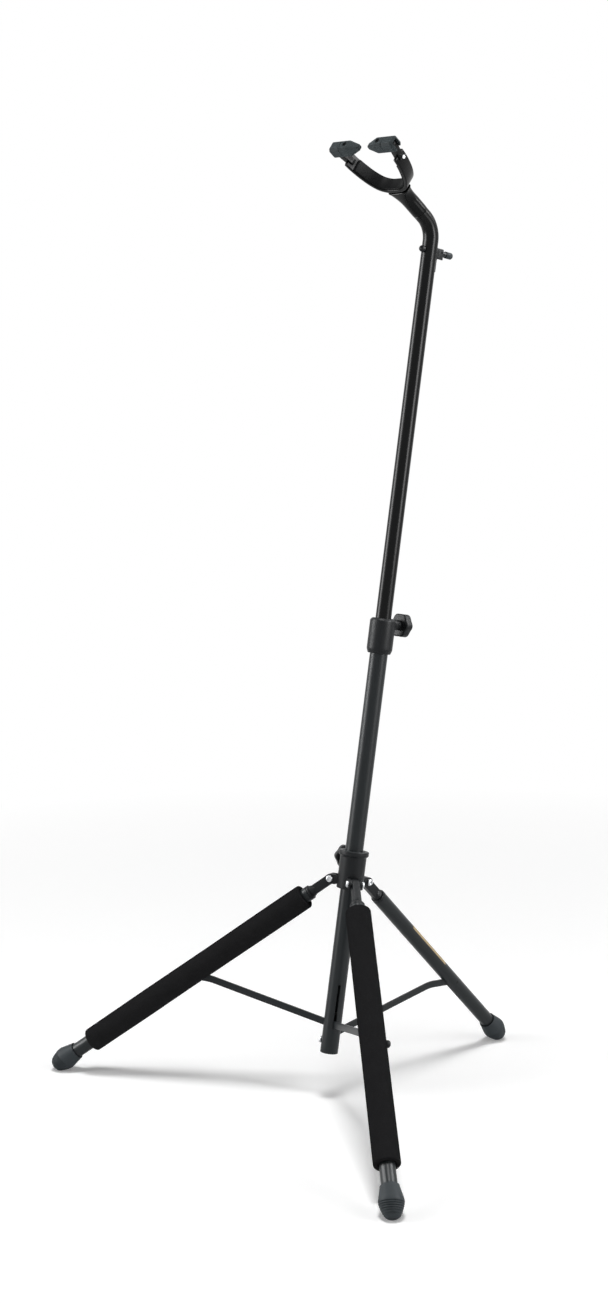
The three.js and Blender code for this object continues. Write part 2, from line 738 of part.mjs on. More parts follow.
// Height clamp: a housing pushed over the top of the lower tube, a bush and a knob.
const clampKnobFrame = knobFrame(rearAzimuth, clampKnobHeight);
const clampBore = upperTubeRadius + gap + clampBushWall + gap;
const clampProfile = [
  [lowerTubeRadius + gap, clampBottom],
  [lowerTubeRadius + clampSkirt, clampBottom],
  [clampRadius, clampBottom + clampShelf],
  [clampRadius, clampTop - clampMouthRound],
  [clampRadius - clampMouthRound, clampTop],
  [clampBore, clampTop],
  [clampBore, lowerTubeTop + gap],
  [lowerTubeRadius + gap, lowerTubeTop + gap],
  [lowerTubeRadius + gap, clampBottom],
];
let clamp = turned(clampProfile, vec(0, 0, 0), vec(0, 0, 1), fine);
clamp = clamp.add(boss(clampBossRadius, clampBossLength).transform(clampKnobFrame.elements));
const clampClear = [
  rod(clampBore, onAxis(lowerTubeTop - through), onAxis(clampTop + through), fine),
  rod(lowerTubeRadius + gap, onAxis(clampBottom - through), onAxis(lowerTubeTop + gap), fine),
  boss(studRadius + gap, clampBossLength + through).transform(clampKnobFrame.elements),
];
for (const tool of clampClear) clamp = clamp.subtract(tool);
add("clamp_housing", clamp, plastic);
let clampBush = pipe(clampBore - gap, upperTubeRadius + gap, onAxis(clampBushBottom), onAxis(clampTop));
clampBush = clampBush.subtract(boss(studRadius + gap, clampBossLength).transform(clampKnobFrame.elements));
add("clamp_bush", clampBush, grip);
add("clamp_knob", knob(upperTubeRadius + gap, clampBossLength).transform(clampKnobFrame.elements), plastic);

// Upper tube with its forward bend.
const bendPoint = (angle) =>
  vec(0, -bendRadius * (1 - Math.cos(angle)), bendStart + bendRadius * Math.sin(angle));
const forward = vec(0, -Math.sin(bendAngle), Math.cos(bendAngle));
const seam = bendPoint(bendAngle).addScaledVector(forward, bendTail);
const upperPath = [onAxis(upperTubeBottom)];
for (let k = 0; k <= bendSteps; k++) upperPath.push(bendPoint((bendAngle * k) / bendSteps));
upperPath.push(seam);
let upperTube = sweptTube(upperTubeRadius, upperTubeRadius - tubeWall, upperPath);
const bowAt = (back, height = bowHeight) => vec(0, back, height);
upperTube = upperTube.subtract(
  rod(clearOf(bowBoltRadius), bowAt(-upperTubeRadius - through), bowAt(upperTubeRadius + through), coarse),
);
add("mast_upper_tube", upperTube, paint, { metalness: 0.4 });

// Glide in the lower end of the upper tube.
const glideRadius = upperTubeRadius - tubeWall - gap;
const glideRod = (radius, from, to) =>
  rod(radius, onAxis(upperTubeBottom + from), onAxis(upperTubeBottom + to), medium);
let glide = glideRod(glideRadius, 0, glideLength);
glide = glide.add(glideRod(upperTubeRadius, -gap - glideLip, -gap));
glide = glide.add(glideRod(glideRadius, -glideLip, glideLip));
glide = glide.subtract(glideRod(glideRadius - glideWall, -deep, deep));
add("mast_glide", glide, grip);

// Bow holder: plate and cheeks, through bolt with a domed nut, hinge pin, peg and rubber cap.
const bowFace = upperTubeRadius + gap;
const bowPlateFace = bowFace + bowPlateThick;
const bowBlock = (x, below, back, above) =>
  box(vec(x[0], 0, bowHeight - below), vec(x[1], back, bowHeight + above));
const cheekFace = bowCheekHalfWidth - bowCheekThick;
const bowPlateX = [-bowPlateHalfWidth, bowPlateHalfWidth];
const bowPlate = bowBlock(bowPlateX, bowPlateBelow, bowPlateFace, bowPlateAbove);
const bowWeb = bowBlock([-bowCheekHalfWidth, bowCheekHalfWidth], bowCheekBelow, bowPlateFace, bowCheekAbove);
let bowBase = bowPlate.add(bowWeb);
for (const x of [
  [cheekFace, bowCheekHalfWidth],
  [-bowCheekHalfWidth, -cheekFace],
])
  bowBase = bowBase.add(bowBlock(x, bowCheekBelow, bowPivotOut + bowCheekPast, bowCheekAbove));
bowBase = bowBase.subtract(rod(bowFace, onAxis(bowHeight - deep), onAxis(bowHeight + deep), fine));
const bowAxis = (halfLength) => [-halfLength, halfLength].map((x) => vec(x, bowPivotOut, bowHeight));
bowBase = bowBase.subtract(rod(clearOf(bowPinRadius), ...bowAxis(bowCheekHalfWidth + through), coarse));
bowBase = bowBase.subtract(rod(clearOf(bowBoltRadius), bowAt(0), bowAt(deep), coarse));
add("bow_holder_base", bowBase, plastic);
add("bow_holder_pin", rod(bowPinRadius, ...bowAxis(bowCheekHalfWidth), coarse), steelColour, steel);
const nutFrom = -upperTubeRadius - gap;
const nutShape = [[0, 0], ...domed(bowNutRadius, bowNut)];
const bowBolt = turned(nutShape, bowAt(nutFrom), bowAt(nutFrom - bowNut), coarse).add(
  rod(bowBoltRadius, bowAt(nutFrom - bowNut * half), bowAt(bowPlateFace - gap), coarse),
);
add("bow_holder_bolt", bowBolt, plastic);
const pegEnd = upperTubeRadius + bowPegReach;
const pegHub = bowAxis(cheekFace - gap);
let peg = rod(bowPegRadius, bowAt(bowPivotOut), bowAt(pegEnd), medium);
peg = peg.add(rod(bowHubRadius, ...pegHub, medium));
peg = peg.subtract(rod(clearOf(bowPinRadius), ...bowAxis(bowCheekHalfWidth), coarse));
add("bow_holder_peg", peg, paint);
const capWall = bowCapRadius - bowPegRadius;
const capProfile = [
  [bowPegRadius + gap, -bowCapLength],
  [bowCapRadius, -bowCapLength],
  [bowCapRadius, 0],
  [bowCapRadius * Math.cos(turn / 8), capWall + gap],
  [0, 2 * capWall + gap],
  [0, gap],
  [bowPegRadius + gap, gap],
  [bowPegRadius + gap, -bowCapLength],
];
add("bow_holder_cap", turned(capProfile, bowAt(pegEnd), bowAt(pegEnd + bowCapLength), medium), rubber);

// Yoke frame: X across, Y forward along the tube's end, Z square to it.
const square = vec(0, Math.cos(bendAngle), Math.sin(bendAngle));
const yokeFrame = new THREE.Matrix4().makeBasis(vec(-1, 0, 0), forward, square).setPosition(seam);
const inYoke = (made) => made.transform(yokeFrame.elements);

// A section of the neck: round where it meets the tube, wider and squarer towards the fork.
function neckRing(at, [wideShare, lowShare, dropShare, squareShare], trim = 0) {
  const halfX = THREE.MathUtils.lerp(neckRadius, neckFlareHalfWidth, wideShare) - trim;
  const halfN = THREE.MathUtils.lerp(neckRadius, neckFlareHalfHeight, lowShare) - trim;
  return Array.from({ length: fine }, (_, i) => {
    const angle = (turn * i) / fine;
    const [c, s] = [Math.cos(angle), Math.sin(angle)];
    const bulge = (v) => Math.sign(v) * Math.abs(v) ** (2 / (2 + squareShare));
    return vec(halfX * bulge(c), at, halfN * bulge(s) - dropShare * neckFlareDrop);
  });
}
const atF = (f, x = 0, n = 0) => vec(x, f, n);
const spigotRadius = upperTubeRadius - tubeWall - gap;
const roundNeck = [0, 0, 0, 0];
const neckRings = [
  neckRing(gap, roundNeck, neckRadius - upperTubeRadius),
  neckRing(gap + neckEdge, roundNeck),
  ...neckRingShares.map(([placeShare, ...shares]) => neckRing(placeShare * neckLength + gap, shares)),
];
let neck = loft(neckRings);
neck = neck.add(rod(spigotRadius, atF(-neckSpigot), atF(gap + gap), medium));
const socketDepth = forkOffset - forkWall * half - stemLength - gap;
const stemRoom = box(
  vec(-stemHalfWidth - gap, socketDepth, -stemHalfHeight - gap),
  vec(stemHalfWidth + gap, neckLength + through, stemHalfHeight + gap),
);
neck = neck.subtract(stemRoom);
const neckPin = (radius, from, to) =>
  rod(radius, atF(neckPinAt, neckRadius + from), atF(neckPinAt, neckRadius + to), coarse);
neck = neck.subtract(neckPin(clearOf(neckPinRadius), -neckPinDepth - gap, through));
add("yoke_neck", inYoke(neck), plastic);
add("yoke_neck_pin", inYoke(neckPin(neckPinRadius, -neckPinDepth, neckPinProud)), steelColour, steel);

// Fork: a U band on a stem, with a flat tongue at the end of each arm.
const mirrored = forkPathShares.slice(1).map(([x, f]) => [-x, f]);
const spinePoints = [...mirrored.reverse(), ...forkPathShares].map(([xShare, fShare]) =>
  vec(xShare * forkHalfSpread, forkOffset + fShare * forkDepth, 0),
);
const spine = new THREE.CatmullRomCurve3(spinePoints);

// A band beside the fork's centre line, from one offset to another, over a share of its length.
function band(inner, outer, halfHeight, edge, share) {
  const from = (1 - share) * half;
  const sides = [outer, inner].map((offset) =>
    Array.from({ length: forkSteps + 1 }, (_, i) => {
      const u = from + (share * i) / forkSteps;
      const p = spine.getPointAt(u);
      const t = spine.getTangentAt(u);
      return new THREE.Vector2(p.x + t.y * offset, p.y - t.x * offset);
    }),
  );
  const shape = new THREE.Shape([...sides[0], ...sides[1].reverse()]);
  const depth = 2 * (halfHeight - edge);
  const bevel = { bevelThickness: edge, bevelSize: edge, bevelOffset: -edge, bevelSegments: 2 };
  const options = { depth, bevelEnabled: edge > 0, ...bevel };
  return solid(new THREE.ExtrudeGeometry(shape, options), shift(0, 0, -depth * half));
}
let fork = band(-forkWall * half, forkWall * half, forkHalfHeight, forkEdge, 1);
fork = fork.add(
  box(
    vec(-stemHalfWidth, forkOffset - forkWall * half - stemLength, -stemHalfHeight),
    vec(stemHalfWidth, forkOffset, stemHalfHeight),
  ),
);
const armF = forkOffset + forkDepth;
const linkF = armF - linkPinBack;
const armEnd = (side) => new THREE.Vector2(side * forkHalfSpread, armF);
const gatePivot = (side) => new THREE.Vector2(side * gateAcross, gateForward);
const linkRod = (side, radius, from, to) =>
  rod(radius, atF(linkF, side * (forkHalfSpread + from)), atF(linkF, side * (forkHalfSpread + to)), coarse);
for (const side of [-1, 1]) {
  const flatY = (p) => new THREE.Vector2(p.x, -p.y);
  const root = armEnd(side).lerp(gatePivot(side), -half * half);
  const tongue = strap(tongueHalfWidth, 2 * tongueHalfHeight, flatY(root), flatY(gatePivot(side)));
  fork = fork.add(tongue.transform(chain(aboutX(turn / 4)).elements));
  fork = fork.subtract(
    rod(
      clearOf(gatePinRadius),
      atF(gateForward, side * gateAcross, -tongueHalfHeight - through),
      atF(gateForward, side * gateAcross, tongueHalfHeight + through),
      coarse,
    ),
  );
  fork = fork.subtract(linkRod(side, clearOf(linkPinRadius), -forkWall - through, forkWall + through));
}
add("yoke_fork", inYoke(fork), plastic);
const linerOut = -forkWall * half - gap;
const liner = band(linerOut - linerWall, linerOut, linerHalfHeight, forkEdge * half, linerShare);
add("yoke_liner", inYoke(liner), rubber);

// Gates: hinge block, rubber pad, pivot pin, pad screw and the link pin in the arm.
function chamfered(x, halfWidth, halfHeight, cut) {
  const corners = [
    [1, 1, 0, -1],
    [1, 1, -1, 0],
    [-1, 1, 1, 0],
    [-1, 1, 0, -1],
    [-1, -1, 0, 1],
    [-1, -1, 1, 0],
    [1, -1, -1, 0],
    [1, -1, 0, 1],
  ];
  return corners.map(([f, n, df, dn]) =>
    vec(x, gateForward + f * halfWidth + df * cut, n * halfHeight + dn * cut),
  );
}
for (const [name, side] of [
  ["left", 1],
  ["right", -1],
]) {
  const section = (x, ...rest) => chamfered(side * x, ...rest);
  const full = [gateHalfWidth, gateHalfHeight, gateChamfer];
  const hinge = [
    section(gateSeam, ...full),
    section(gateOuter - gateChamfer, ...full),
    section(gateOuter, gateHalfWidth - gateChamfer, gateHalfHeight - gateChamfer, gateTipChamfer),
  ];
  const pivotAt = (n) => atF(gateForward, side * gateAcross, n);
  let block = loft(hinge);
  const slotInner = side * (gateSeam + gateWall);
  const slotOuter = side * (gateOuter + through);
  const slotHalf = tongueHalfHeight + gap;
  block = block.subtract(
    box(
      vec(Math.min(slotInner, slotOuter), gateForward - gateHalfWidth - through, -slotHalf),
      vec(Math.max(slotInner, slotOuter), gateForward + gateSlotFront - gateChamfer * half, slotHalf),
    ),
  );
  const tongueTip = gateSeam - gateTongueLength;
  block = block.add(
    box(
      vec(
        Math.min(side * tongueTip, side * (gateSeam + gateWall * half)),
        gateForward - gateTongueHalf,
        -gateTongueHalfHeight,
      ),
      vec(
        Math.max(side * tongueTip, side * (gateSeam + gateWall * half)),
        gateForward + gateTongueHalf,
        gateTongueHalfHeight,
      ),
    ),
  );
  const pinHalf = gateHalfHeight - gap;
  block = block.subtract(
    rod(clearOf(gatePinRadius), pivotAt(-pinHalf - through), pivotAt(pinHalf + through), coarse),
  );
  const screwRod = (radius, from, to) => {
    const screwAt = (f) => atF(f, side * (gateSeam - padScrewBack), 0);
    return rod(radius, screwAt(from), screwAt(to), coarse);
  };
  const face = gateForward + gateHalfWidth;
  block = block.subtract(screwRod(clearOf(padScrewRadius), gateForward - gap, face + through));
  add("gate_block_" + name, inYoke(block), plastic);
  const gatePin = rod(gatePinRadius, pivotAt(-pinHalf), pivotAt(pinHalf), coarse);
  add("gate_pin_" + name, inYoke(gatePin), steelColour, steel);

  const padRings = [
    section(gateSeam - gap, ...full),
    section(gateTaper, ...full),
    section(gateTip, gateTipHalfWidth, gateTipHalfHeight, gateTipChamfer),
  ];
  let pad = loft(padRings);
  const roomX = [side * (tongueTip - gap), side * (gateSeam + through)];
  pad = pad.subtract(
    box(
      vec(Math.min(...roomX), gateForward - gateTongueHalf - gap, -gateTongueHalfHeight - gap),
      vec(Math.max(...roomX), gateForward + gateTongueHalf + gap, gateTongueHalfHeight + gap),
    ),
  );
  pad = pad.subtract(screwRod(clearOf(padScrewRadius), gateForward, face + through));
  const headFace = face - padScrewSink - padScrewHead;
  pad = pad.subtract(screwRod(clearOf(padScrewHeadRadius), headFace - gap, face + through));
  add("gate_pad_" + name, inYoke(pad), grip, { roughness: 0.7 });
  const padScrew = screwRod(padScrewHeadRadius, headFace, headFace + padScrewHead).add(
    screwRod(padScrewRadius, gateForward, headFace + padScrewHead * half),
  );
  add("gate_screw_" + name, inYoke(padScrew), plastic);

  const linkPin = linkRod(side, linkPinRadius, -forkWall * half, forkWall + linkPinProud);
  add("link_pin_" + name, inYoke(linkPin), steelColour, steel);
}

// Leans the mast back, stands the feet on the floor and centres the part over its base.
nodes.applyMatrix4(chain(shift(0, 0, hubHeight), aboutX(-mastLean)));
nodes.updateMatrixWorld(true);
const part = new THREE.Group();
part.add(nodes);
const bounds = new THREE.Box3().setFromObject(part, true);
const centre = bounds.getCenter(vec(0, 0, 0));
part.position.set(-centre.x, -centre.y, 0);

export default part;
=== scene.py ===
import json
import math

import bpy
import numpy as np
from mathutils import Matrix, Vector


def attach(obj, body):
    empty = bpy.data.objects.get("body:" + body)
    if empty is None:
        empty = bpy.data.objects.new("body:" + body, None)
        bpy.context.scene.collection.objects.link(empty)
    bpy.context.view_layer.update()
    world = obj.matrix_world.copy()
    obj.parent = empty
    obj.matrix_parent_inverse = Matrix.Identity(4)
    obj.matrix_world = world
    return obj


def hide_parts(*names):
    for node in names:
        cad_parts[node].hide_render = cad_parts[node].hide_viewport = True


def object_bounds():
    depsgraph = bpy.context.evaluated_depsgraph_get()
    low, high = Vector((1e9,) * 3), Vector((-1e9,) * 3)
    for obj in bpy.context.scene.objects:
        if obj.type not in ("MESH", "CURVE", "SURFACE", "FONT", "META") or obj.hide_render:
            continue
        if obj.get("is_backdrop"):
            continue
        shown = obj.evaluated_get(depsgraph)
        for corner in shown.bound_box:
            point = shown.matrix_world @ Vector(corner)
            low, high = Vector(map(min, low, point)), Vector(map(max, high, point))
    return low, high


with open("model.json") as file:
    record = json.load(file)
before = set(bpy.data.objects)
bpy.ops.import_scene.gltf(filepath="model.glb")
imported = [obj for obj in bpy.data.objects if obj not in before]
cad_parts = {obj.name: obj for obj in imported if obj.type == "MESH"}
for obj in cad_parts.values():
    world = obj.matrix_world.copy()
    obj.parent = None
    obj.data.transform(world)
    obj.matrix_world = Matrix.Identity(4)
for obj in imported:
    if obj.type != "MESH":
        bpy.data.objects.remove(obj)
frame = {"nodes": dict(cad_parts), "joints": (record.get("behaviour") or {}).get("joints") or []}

bl_info = {
    "name": "Folding floor stand",
    "version": (1, 0, 0),
    "blender": (4, 5, 0),
    "location": "View3D > Sidebar > Stand",
    "description": "Dresses the packed stand with detailed pieces, finishes, a floor and soft light",
    "category": "Object",
}

# Lengths are in millimetres until a piece is put into the scene, and MM turns them into metres.
MM = 0.001
TURN = 2 * math.pi
QUARTER = TURN / 4
DEGREE = TURN / 360
HALF = 0.5
# Clearance between neighbours, and how far a cut runs past what it cuts.
GAP = 0.3
THROUGH = 4.0

# Stance: the mast leans back and three legs stand around it.
MAST_LEAN = 10.35 * DEGREE
FRONT_SPLAY = 48.35 * DEGREE
REAR_SPLAY = 53.84 * DEGREE
FRONT_FOOT_REACH = 498.0
HUB_PIVOT_RADIUS = 27.0

# Mast tubes, measured along the mast from the point where the leg lines meet.
LOWER_BOTTOM = -260.2
LOWER_TOP = 322.0
UPPER_BOTTOM = 72.0
UPPER_EDGE = 0.4
BEND_START = 846.0
BEND_RADIUS = 34.0
BEND_ANGLE = 62 * DEGREE
BEND_TAIL = 10.0
BEND_ROWS = 28
TUBE_EDGE = 0.35

# Spreader bars and the slots that they run in.
BAR_EDGE = 0.5
BAR_BEND_CUT = 9.0
BAR_PIVOT_RADIUS = 8.0
FRONT_BAR_PIVOT = -220.2
REAR_BAR_PIVOT = -233.5
FRONT_BEND = (185.0, -190.6)
REAR_BEND = (181.4, -174.5)
FRONT_LEG_PIVOT = 253.9
REAR_LEG_PIVOT = 249.0
SLOT_PLAY = 0.4
FRONT_SLOT_TOP = -164.9
REAR_SLOT_TOP = -169.0
FRONT_SLOT_ABOVE = 24.2
FRONT_SLOT_BELOW = 31.2
REAR_SLOT_ABOVE = 22.4
REAR_SLOT_BELOW = 31.4
SLEEVE_SLOT_ABOVE = 31.9
SLEEVE_SLOT_BELOW = 54.2
SLEEVE_SLOT_PLAY = 1.2
BLOCK_SCREW_HEIGHT = -244.5
BLOCK_SCREW_RADIUS = 4.7
BLOCK_SCREW_HEAD = 3.4

# Legs, measured from the hub pivot.
LEG_TUBE_START = 38.0
LEG_PLUG_DEPTH = 24.0
LUG_HALF_WIDTH = 5.0
LUG_RADIUS = 6.6
LUG_COLLAR = 3.0
LUG_EDGE = 0.9
LUG_NECK_LENGTH = 9.0
LUG_NECK_TIP = 1.0
LUG_NECK_RADIUS = 5.5
LUG_SHOULDER_SHARE = 0.86
LUG_SHOULDER = 0.4
LUG_NECK_SINK = 0.6
LUG_NECK_ROUND = 3.0
SLEEVE_START = 46.0
SLEEVE_TO_FOOT = 28.4
SLEEVE_BULGE = 0.15
SLEEVE_FLARE = 1.0
LEG_BOLT_RADIUS = 4.9
LEG_BOLT_HEAD = 5.4
LEG_BOLT_PROUD = 0.4
LEG_BOLT_END_RADIUS = 2.5
STRIP_START = 118.0
STRIP_END = 210.0
STRIP_HALF_WIDTH = 5.0
STRIP_TURN = 38 * DEGREE
STRIP_PROUD = 0.12
STRIP_THICK = 0.5
STRIP_EDGE = 0.3
STRIP_COLUMNS = 13

# Rubber feet, turned about the leg and measured from the blunt end.
FOOT_LENGTH = 41.0
FOOT_TUBE_DEPTH = 22.0
FOOT_MOUTH = 11.7
FOOT_MOUTH_DEPTH = 2.4
FOOT_MOUTH_LIP = 0.5
FOOT_LIP = 12.2
FOOT_LIP_HEIGHT = 1.6
# Outline of a foot: share of its widest radius, then share of its length.
FOOT_SHARES = [
    [0.42, 0],
    [0.54, 0.025],
    [0.66, 0.075],
    [0.75, 0.14],
    [0.86, 0.26],
    [0.94, 0.35],
    [0.985, 0.43],
    [1, 0.52],
    [0.965, 0.6],
    [0.79, 0.92],
]
FOOT_ROWS = 320
FOOT_GROOVE_POWER = 2
FOOT_RING_START = 2.8
FOOT_RING_END = 20.0
FOOT_RING_TILT = 14 * DEGREE
FOOT_FLAT = 1.2
FOOT_SOFT = 0.8

# Leg hub.
HUB_RADIUS = 18.0
HUB_BORE = 14.55
HUB_BOTTOM = -34.0
HUB_TOP = 18.0
HUB_FLANGE_RADIUS = 20.5
HUB_FLANGE = 6.0
HUB_FLANGE_SLOPE = 1.5
HUB_EDGE = 1.2
EAR_RADIUS = 6.6
EAR_THICK = 4.2
EAR_ROOT = 13.7
HUB_SCREW_HEAD_RADIUS = 4.6
HUB_SCREW_HEAD = 3.0
BOSS_RADIUS = 8.5
BOSS_LENGTH = 26.0
BOSS_ROOT = 1.0
HUB_KNOB_HEIGHT = 4.0
HUB_KNOB_AZIMUTH = QUARTER + TURN / 6

# Knobs.
KNOB_LOBES = 6
KNOB_LOBE_DEPTH = 1.8
KNOB_THICK = 13.0
KNOB_EDGE = 2.2
KNOB_FACE_EDGE_SHARE = 1.4
KNOB_BACK = 0.6
KNOB_NECK_RADIUS = 7.0
KNOB_NECK = 5.0
KNOB_NECK_EDGE = 0.8
KNOB_NECK_SINK = 2.0
KNOB_CAP_SHARE = 0.46
KNOB_CAP_DEPTH = 0.7
KNOB_CAP_RIM = 1.0
STUD_RADIUS = 3.0
STUD_CLEAR = 0.9

# Height clamp.
CLAMP_RADIUS = 17.5
CLAMP_BOTTOM = 288.0
CLAMP_TOP = 336.0
CLAMP_SKIRT = 3.2
CLAMP_SHELF = 6.0
CLAMP_BORE = 12.8
CLAMP_MOUTH_ROUND = 3.0
CLAMP_KNOB_HEIGHT = 329.0
CLAMP_BOSS_RADIUS = 7.5
CLAMP_BOSS_LENGTH = 25.0
CLAMP_BUSH_BOTTOM = 323.0

# Bow holder on the back of the upper tube.
HOLDER_HEIGHT = 834.0
PEG_RADIUS = 3.8
PEG_REACH = 30.5
CAP_RADIUS = 4.6
CAP_LENGTH = 11.0
CAP_WALL = 0.8
CAP_EDGE = 1.2
CAP_MIDDLE = 0.3
CAP_SHOULDER_SHARE = 0.97
CAP_TOP_SHARE = 0.7
PEG_PIVOT_OUT = 17.8
PLATE_HALF_WIDTH = 4.0
PLATE_THICK = 1.6
PLATE_SINK = 2.0
PLATE_BELOW = 27.0
PLATE_ABOVE = 6.0
CHEEK_HALF_WIDTH = 6.4
CHEEK_THICK = 2.0
CHEEK_BELOW = 9.5
CHEEK_ABOVE = 5.0
CHEEK_PAST = 3.4
CHEEK_SINK = 4.0
HOLDER_EDGE = 0.7
HOLDER_PIN_RADIUS = 1.4
PEG_HUB_RADIUS = 4.2
NUT_RADIUS = 4.4
NUT_HEIGHT = 7.0

# Yoke: X across, F forward along the end of the bent tube, N square to both.
NECK_LENGTH = 47.5
NECK_RADIUS = 11.0
NECK_EDGE = 1.2
NECK_MOUTH_EDGE = 1.6
NECK_FLARE_HALF_WIDTH = 18.5
NECK_FLARE_HALF_HEIGHT = 9.8
NECK_FLARE_DROP = 1.6
NECK_ROWS = 40
# Rings of the neck: place, then how much of the flare's width, height, drop and squareness it has.
NECK_RING_SHARES = [
    [0.034, 0, 0, 0, 0],
    [0.34, 0, 0, 0, 0],
    [0.59, 0.07, 0.5, 0.25, 0.2],
    [0.82, 0.41, 0.85, 0.75, 0.6],
    [1, 1, 1, 1, 1],
]
NECK_PIN_RADIUS = 2.6
NECK_PIN_AT = 15.0
NECK_PIN_PROUD = 0.5
NECK_PIN_DEPTH = 5.0
STEM_HALF_WIDTH = 6.0
STEM_HALF_HEIGHT = 4.0
STEM_LENGTH = 20.0
FORK_HALF_SPREAD = 46.5
FORK_DEPTH = 58.0
FORK_PATH_SHARES = [
    [0, 0],
    [0.28, 0.014],
    [0.54, 0.112],
    [0.73, 0.302],
    [0.87, 0.552],
    [0.957, 0.793],
    [1, 1],
]
FORK_OFFSET = 51.5
FORK_WALL = 5.0
FORK_EDGE = 1.1
FORK_ROWS = 120
STEM_BACK = FORK_OFFSET - FORK_WALL * HALF - STEM_LENGTH
LINER_WALL = 2.2
LINER_HALF_HEIGHT = 9.0
LINER_SHARE = 0.84
LINER_EDGE = 0.7
TONGUE_HALF_HEIGHT = 4.3
TONGUE_HALF_WIDTH = 5.0
TONGUE_ROOT_SHARE = 0.25
LINK_PIN_RADIUS = 2.4
LINK_PIN_BACK = 6.0
LINK_PIN_PROUD = 2.2

# Sides of the yoke as seen from the front, as signs of its own X.
SIDES = {"left": 1, "right": -1}

# Gates that close in front of the held neck.
GATE_ACROSS = 51.5
GATE_FORWARD = 128.0
GATE_OUTER = 60.0
GATE_SEAM = 40.0
GATE_TIP = 9.5
GATE_TAPER = 27.0
GATE_HALF_WIDTH = 8.8
GATE_HALF_HEIGHT = 8.6
GATE_TIP_HALF_WIDTH = 3.2
GATE_TIP_HALF_HEIGHT = 3.6
GATE_CHAMFER = 3.2
GATE_TIP_CHAMFER = 1.2
GATE_SOFT = 0.7
GATE_BEND_CUT = 1.6
GATE_END_EDGE = 0.6
GATE_ROWS = 60
GATE_WALL = 3.5
GATE_SLOT_FRONT = 5.6
GATE_PIN_RADIUS = 2.0
PAD_SCREW_BACK = 9.0
PAD_SCREW_RADIUS = 3.2
PAD_SCREW_HEAD = 2.0
PAD_SCREW_SINK = 1.2
PAD_SCREW_LIFT = 0.05

# How finely the surfaces are cut.
FACETS = 96
SMALL_FACETS = 48
SOFT_STEPS = 6
CORNER_STEPS = 5
TUBE_ROWS = 40
UPPER_ROWS = 30
BAR_ROWS = 90
LUG_ROWS = 12
PLATE_ROWS = 10
DOME_ROWS = 10
SOFT_ROOM = 0.49
CREASE = 38 * DEGREE
BAR_TIP_ANGLE = 8 * DEGREE
# Stations of a rounded edge, as shares of its radius, and the digits to which near stations are one.
EDGE_SHARES = [0, 0.06, 0.2, 0.45, 0.72, 1]
ANGLE_DIGITS = 5
LENGTH_DIGITS = 4

# Roundings that small pieces share.
FINE_EDGE = 0.3
BUSH_EDGE = 0.4
PIN_EDGE = 0.5
ROD_EDGE = 0.6

# Screw heads and domed heads. What has share in its name is a share of the radius or the height.
SOCKET_HEAD_SHARES = [[0.8, 0], [1, 0], [1, 0.45], [0.93, 0.72], [0.78, 0.92], [0.56, 1]]
SOCKET_SHARE = 0.5
SOCKET_DEPTH_SHARE = 0.45
SOCKET_EDGE_SHARE = 0.1
SOCKET_RIM = 0.1
DOME_SIDE_SHARE = 0.4
DOME_FOOT_SHARE = 0.8
DOME_FOOT = 0.15
DOME_TOP_ANGLE = 0.94 * QUARTER

# Camera at the photograph's angle, in metres.
CAMERA_PLACE = (1.98715, -1.85824, 1.04351)
CAMERA_AHEAD = (-0.73948, 0.65451, -0.15743)
CAMERA_UP = (-0.11003, 0.11321, 0.98746)
CAMERA_LENS = 56.72
CAMERA_SENSOR = 36.0

# Lamps: place, width and height in metres, then power in watts. All face one point of the stand.
LAMP_TARGET = (0.0, 0.0, 0.6)
LAMPS = {
    "left_lamp": ((-1.3, -2.2, 1.1), 0.9, 2.6, 30.0),
    "right_lamp": ((2.3, 1.1, 1.1), 0.9, 2.6, 30.0),
    "top_lamp": ((0.2, -0.2, 7.0), 1.7, 1.7, 290.0),
}
# Panels that only glossy surfaces show, as the light lines down the tubes.
PANELS = {
    "left_panel": ((-1.6, -1.6, 1.5), 0.9, 2.0, 80.0),
    "right_panel": ((2.4, 0.6, 1.3), 0.75, 1.3, 43.0),
    "high_panel": ((1.2, 1.45, 2.1), 1.2, 1.2, 63.0),
}
WORLD_LIGHT = 0.1
WHITE = (1.0, 1.0, 1.0, 1.0)

# Floor: its rings, the white that lies over it where it is seen, where the background's white starts and how
# fast it grows, in metres.
FLOOR_RADII = [0.02, 0.3, 0.7, 1.2, 2.0, 4.0, 10.0, 30.0]
FLOOR_VEIL = 0.17
FLOOR_FADE_START = 0.75
FLOOR_FADE = 0.9

# The curve from screen values to light.
SCREEN_FULL = 255
SCREEN_KNEE = 0.04045
SCREEN_SLOPE = 12.92
SCREEN_OFFSET = 0.055
SCREEN_POWER = 2.4

# Finishes: sizes and depths of their grain in millimetres, then how far the grain moves tone and gloss.
COAT_CLOUD = 35.0
COAT_PEEL = 1.1
COAT_GRIT = 0.3
COAT_DEPTH = 0.03
COAT_BUMP = 0.5
COAT_PEEL_SHARE = 0.7
COAT_TONES = (0.9, 1.12)
COAT_CLOUD_GLOSS = 0.05
COAT_GRIT_GLOSS = 0.04
PLASTIC_CELL = 0.45
PLASTIC_FLOW = 12.0
PLASTIC_DEPTH = 0.04
PLASTIC_BUMP = 0.15
PLASTIC_TONES = (0.95, 1.06)
PLASTIC_FLOW_GLOSS = 0.08
PLASTIC_CELL_GLOSS = 0.05
RUBBER_CLOUD = 9.0
RUBBER_GRIT = 0.35
RUBBER_DEPTH = 0.05
RUBBER_BUMP = 0.15
RUBBER_TONES = (0.93, 1.08)
RUBBER_GRIT_GLOSS = 0.12
FOAM_PORE = 1.1
FOAM_GRIT = 0.5
FOAM_SWELL = 20.0
FOAM_DEPTH = 0.25
FOAM_BUMP = 0.8
FOAM_SWELL_DEPTH = 1.2
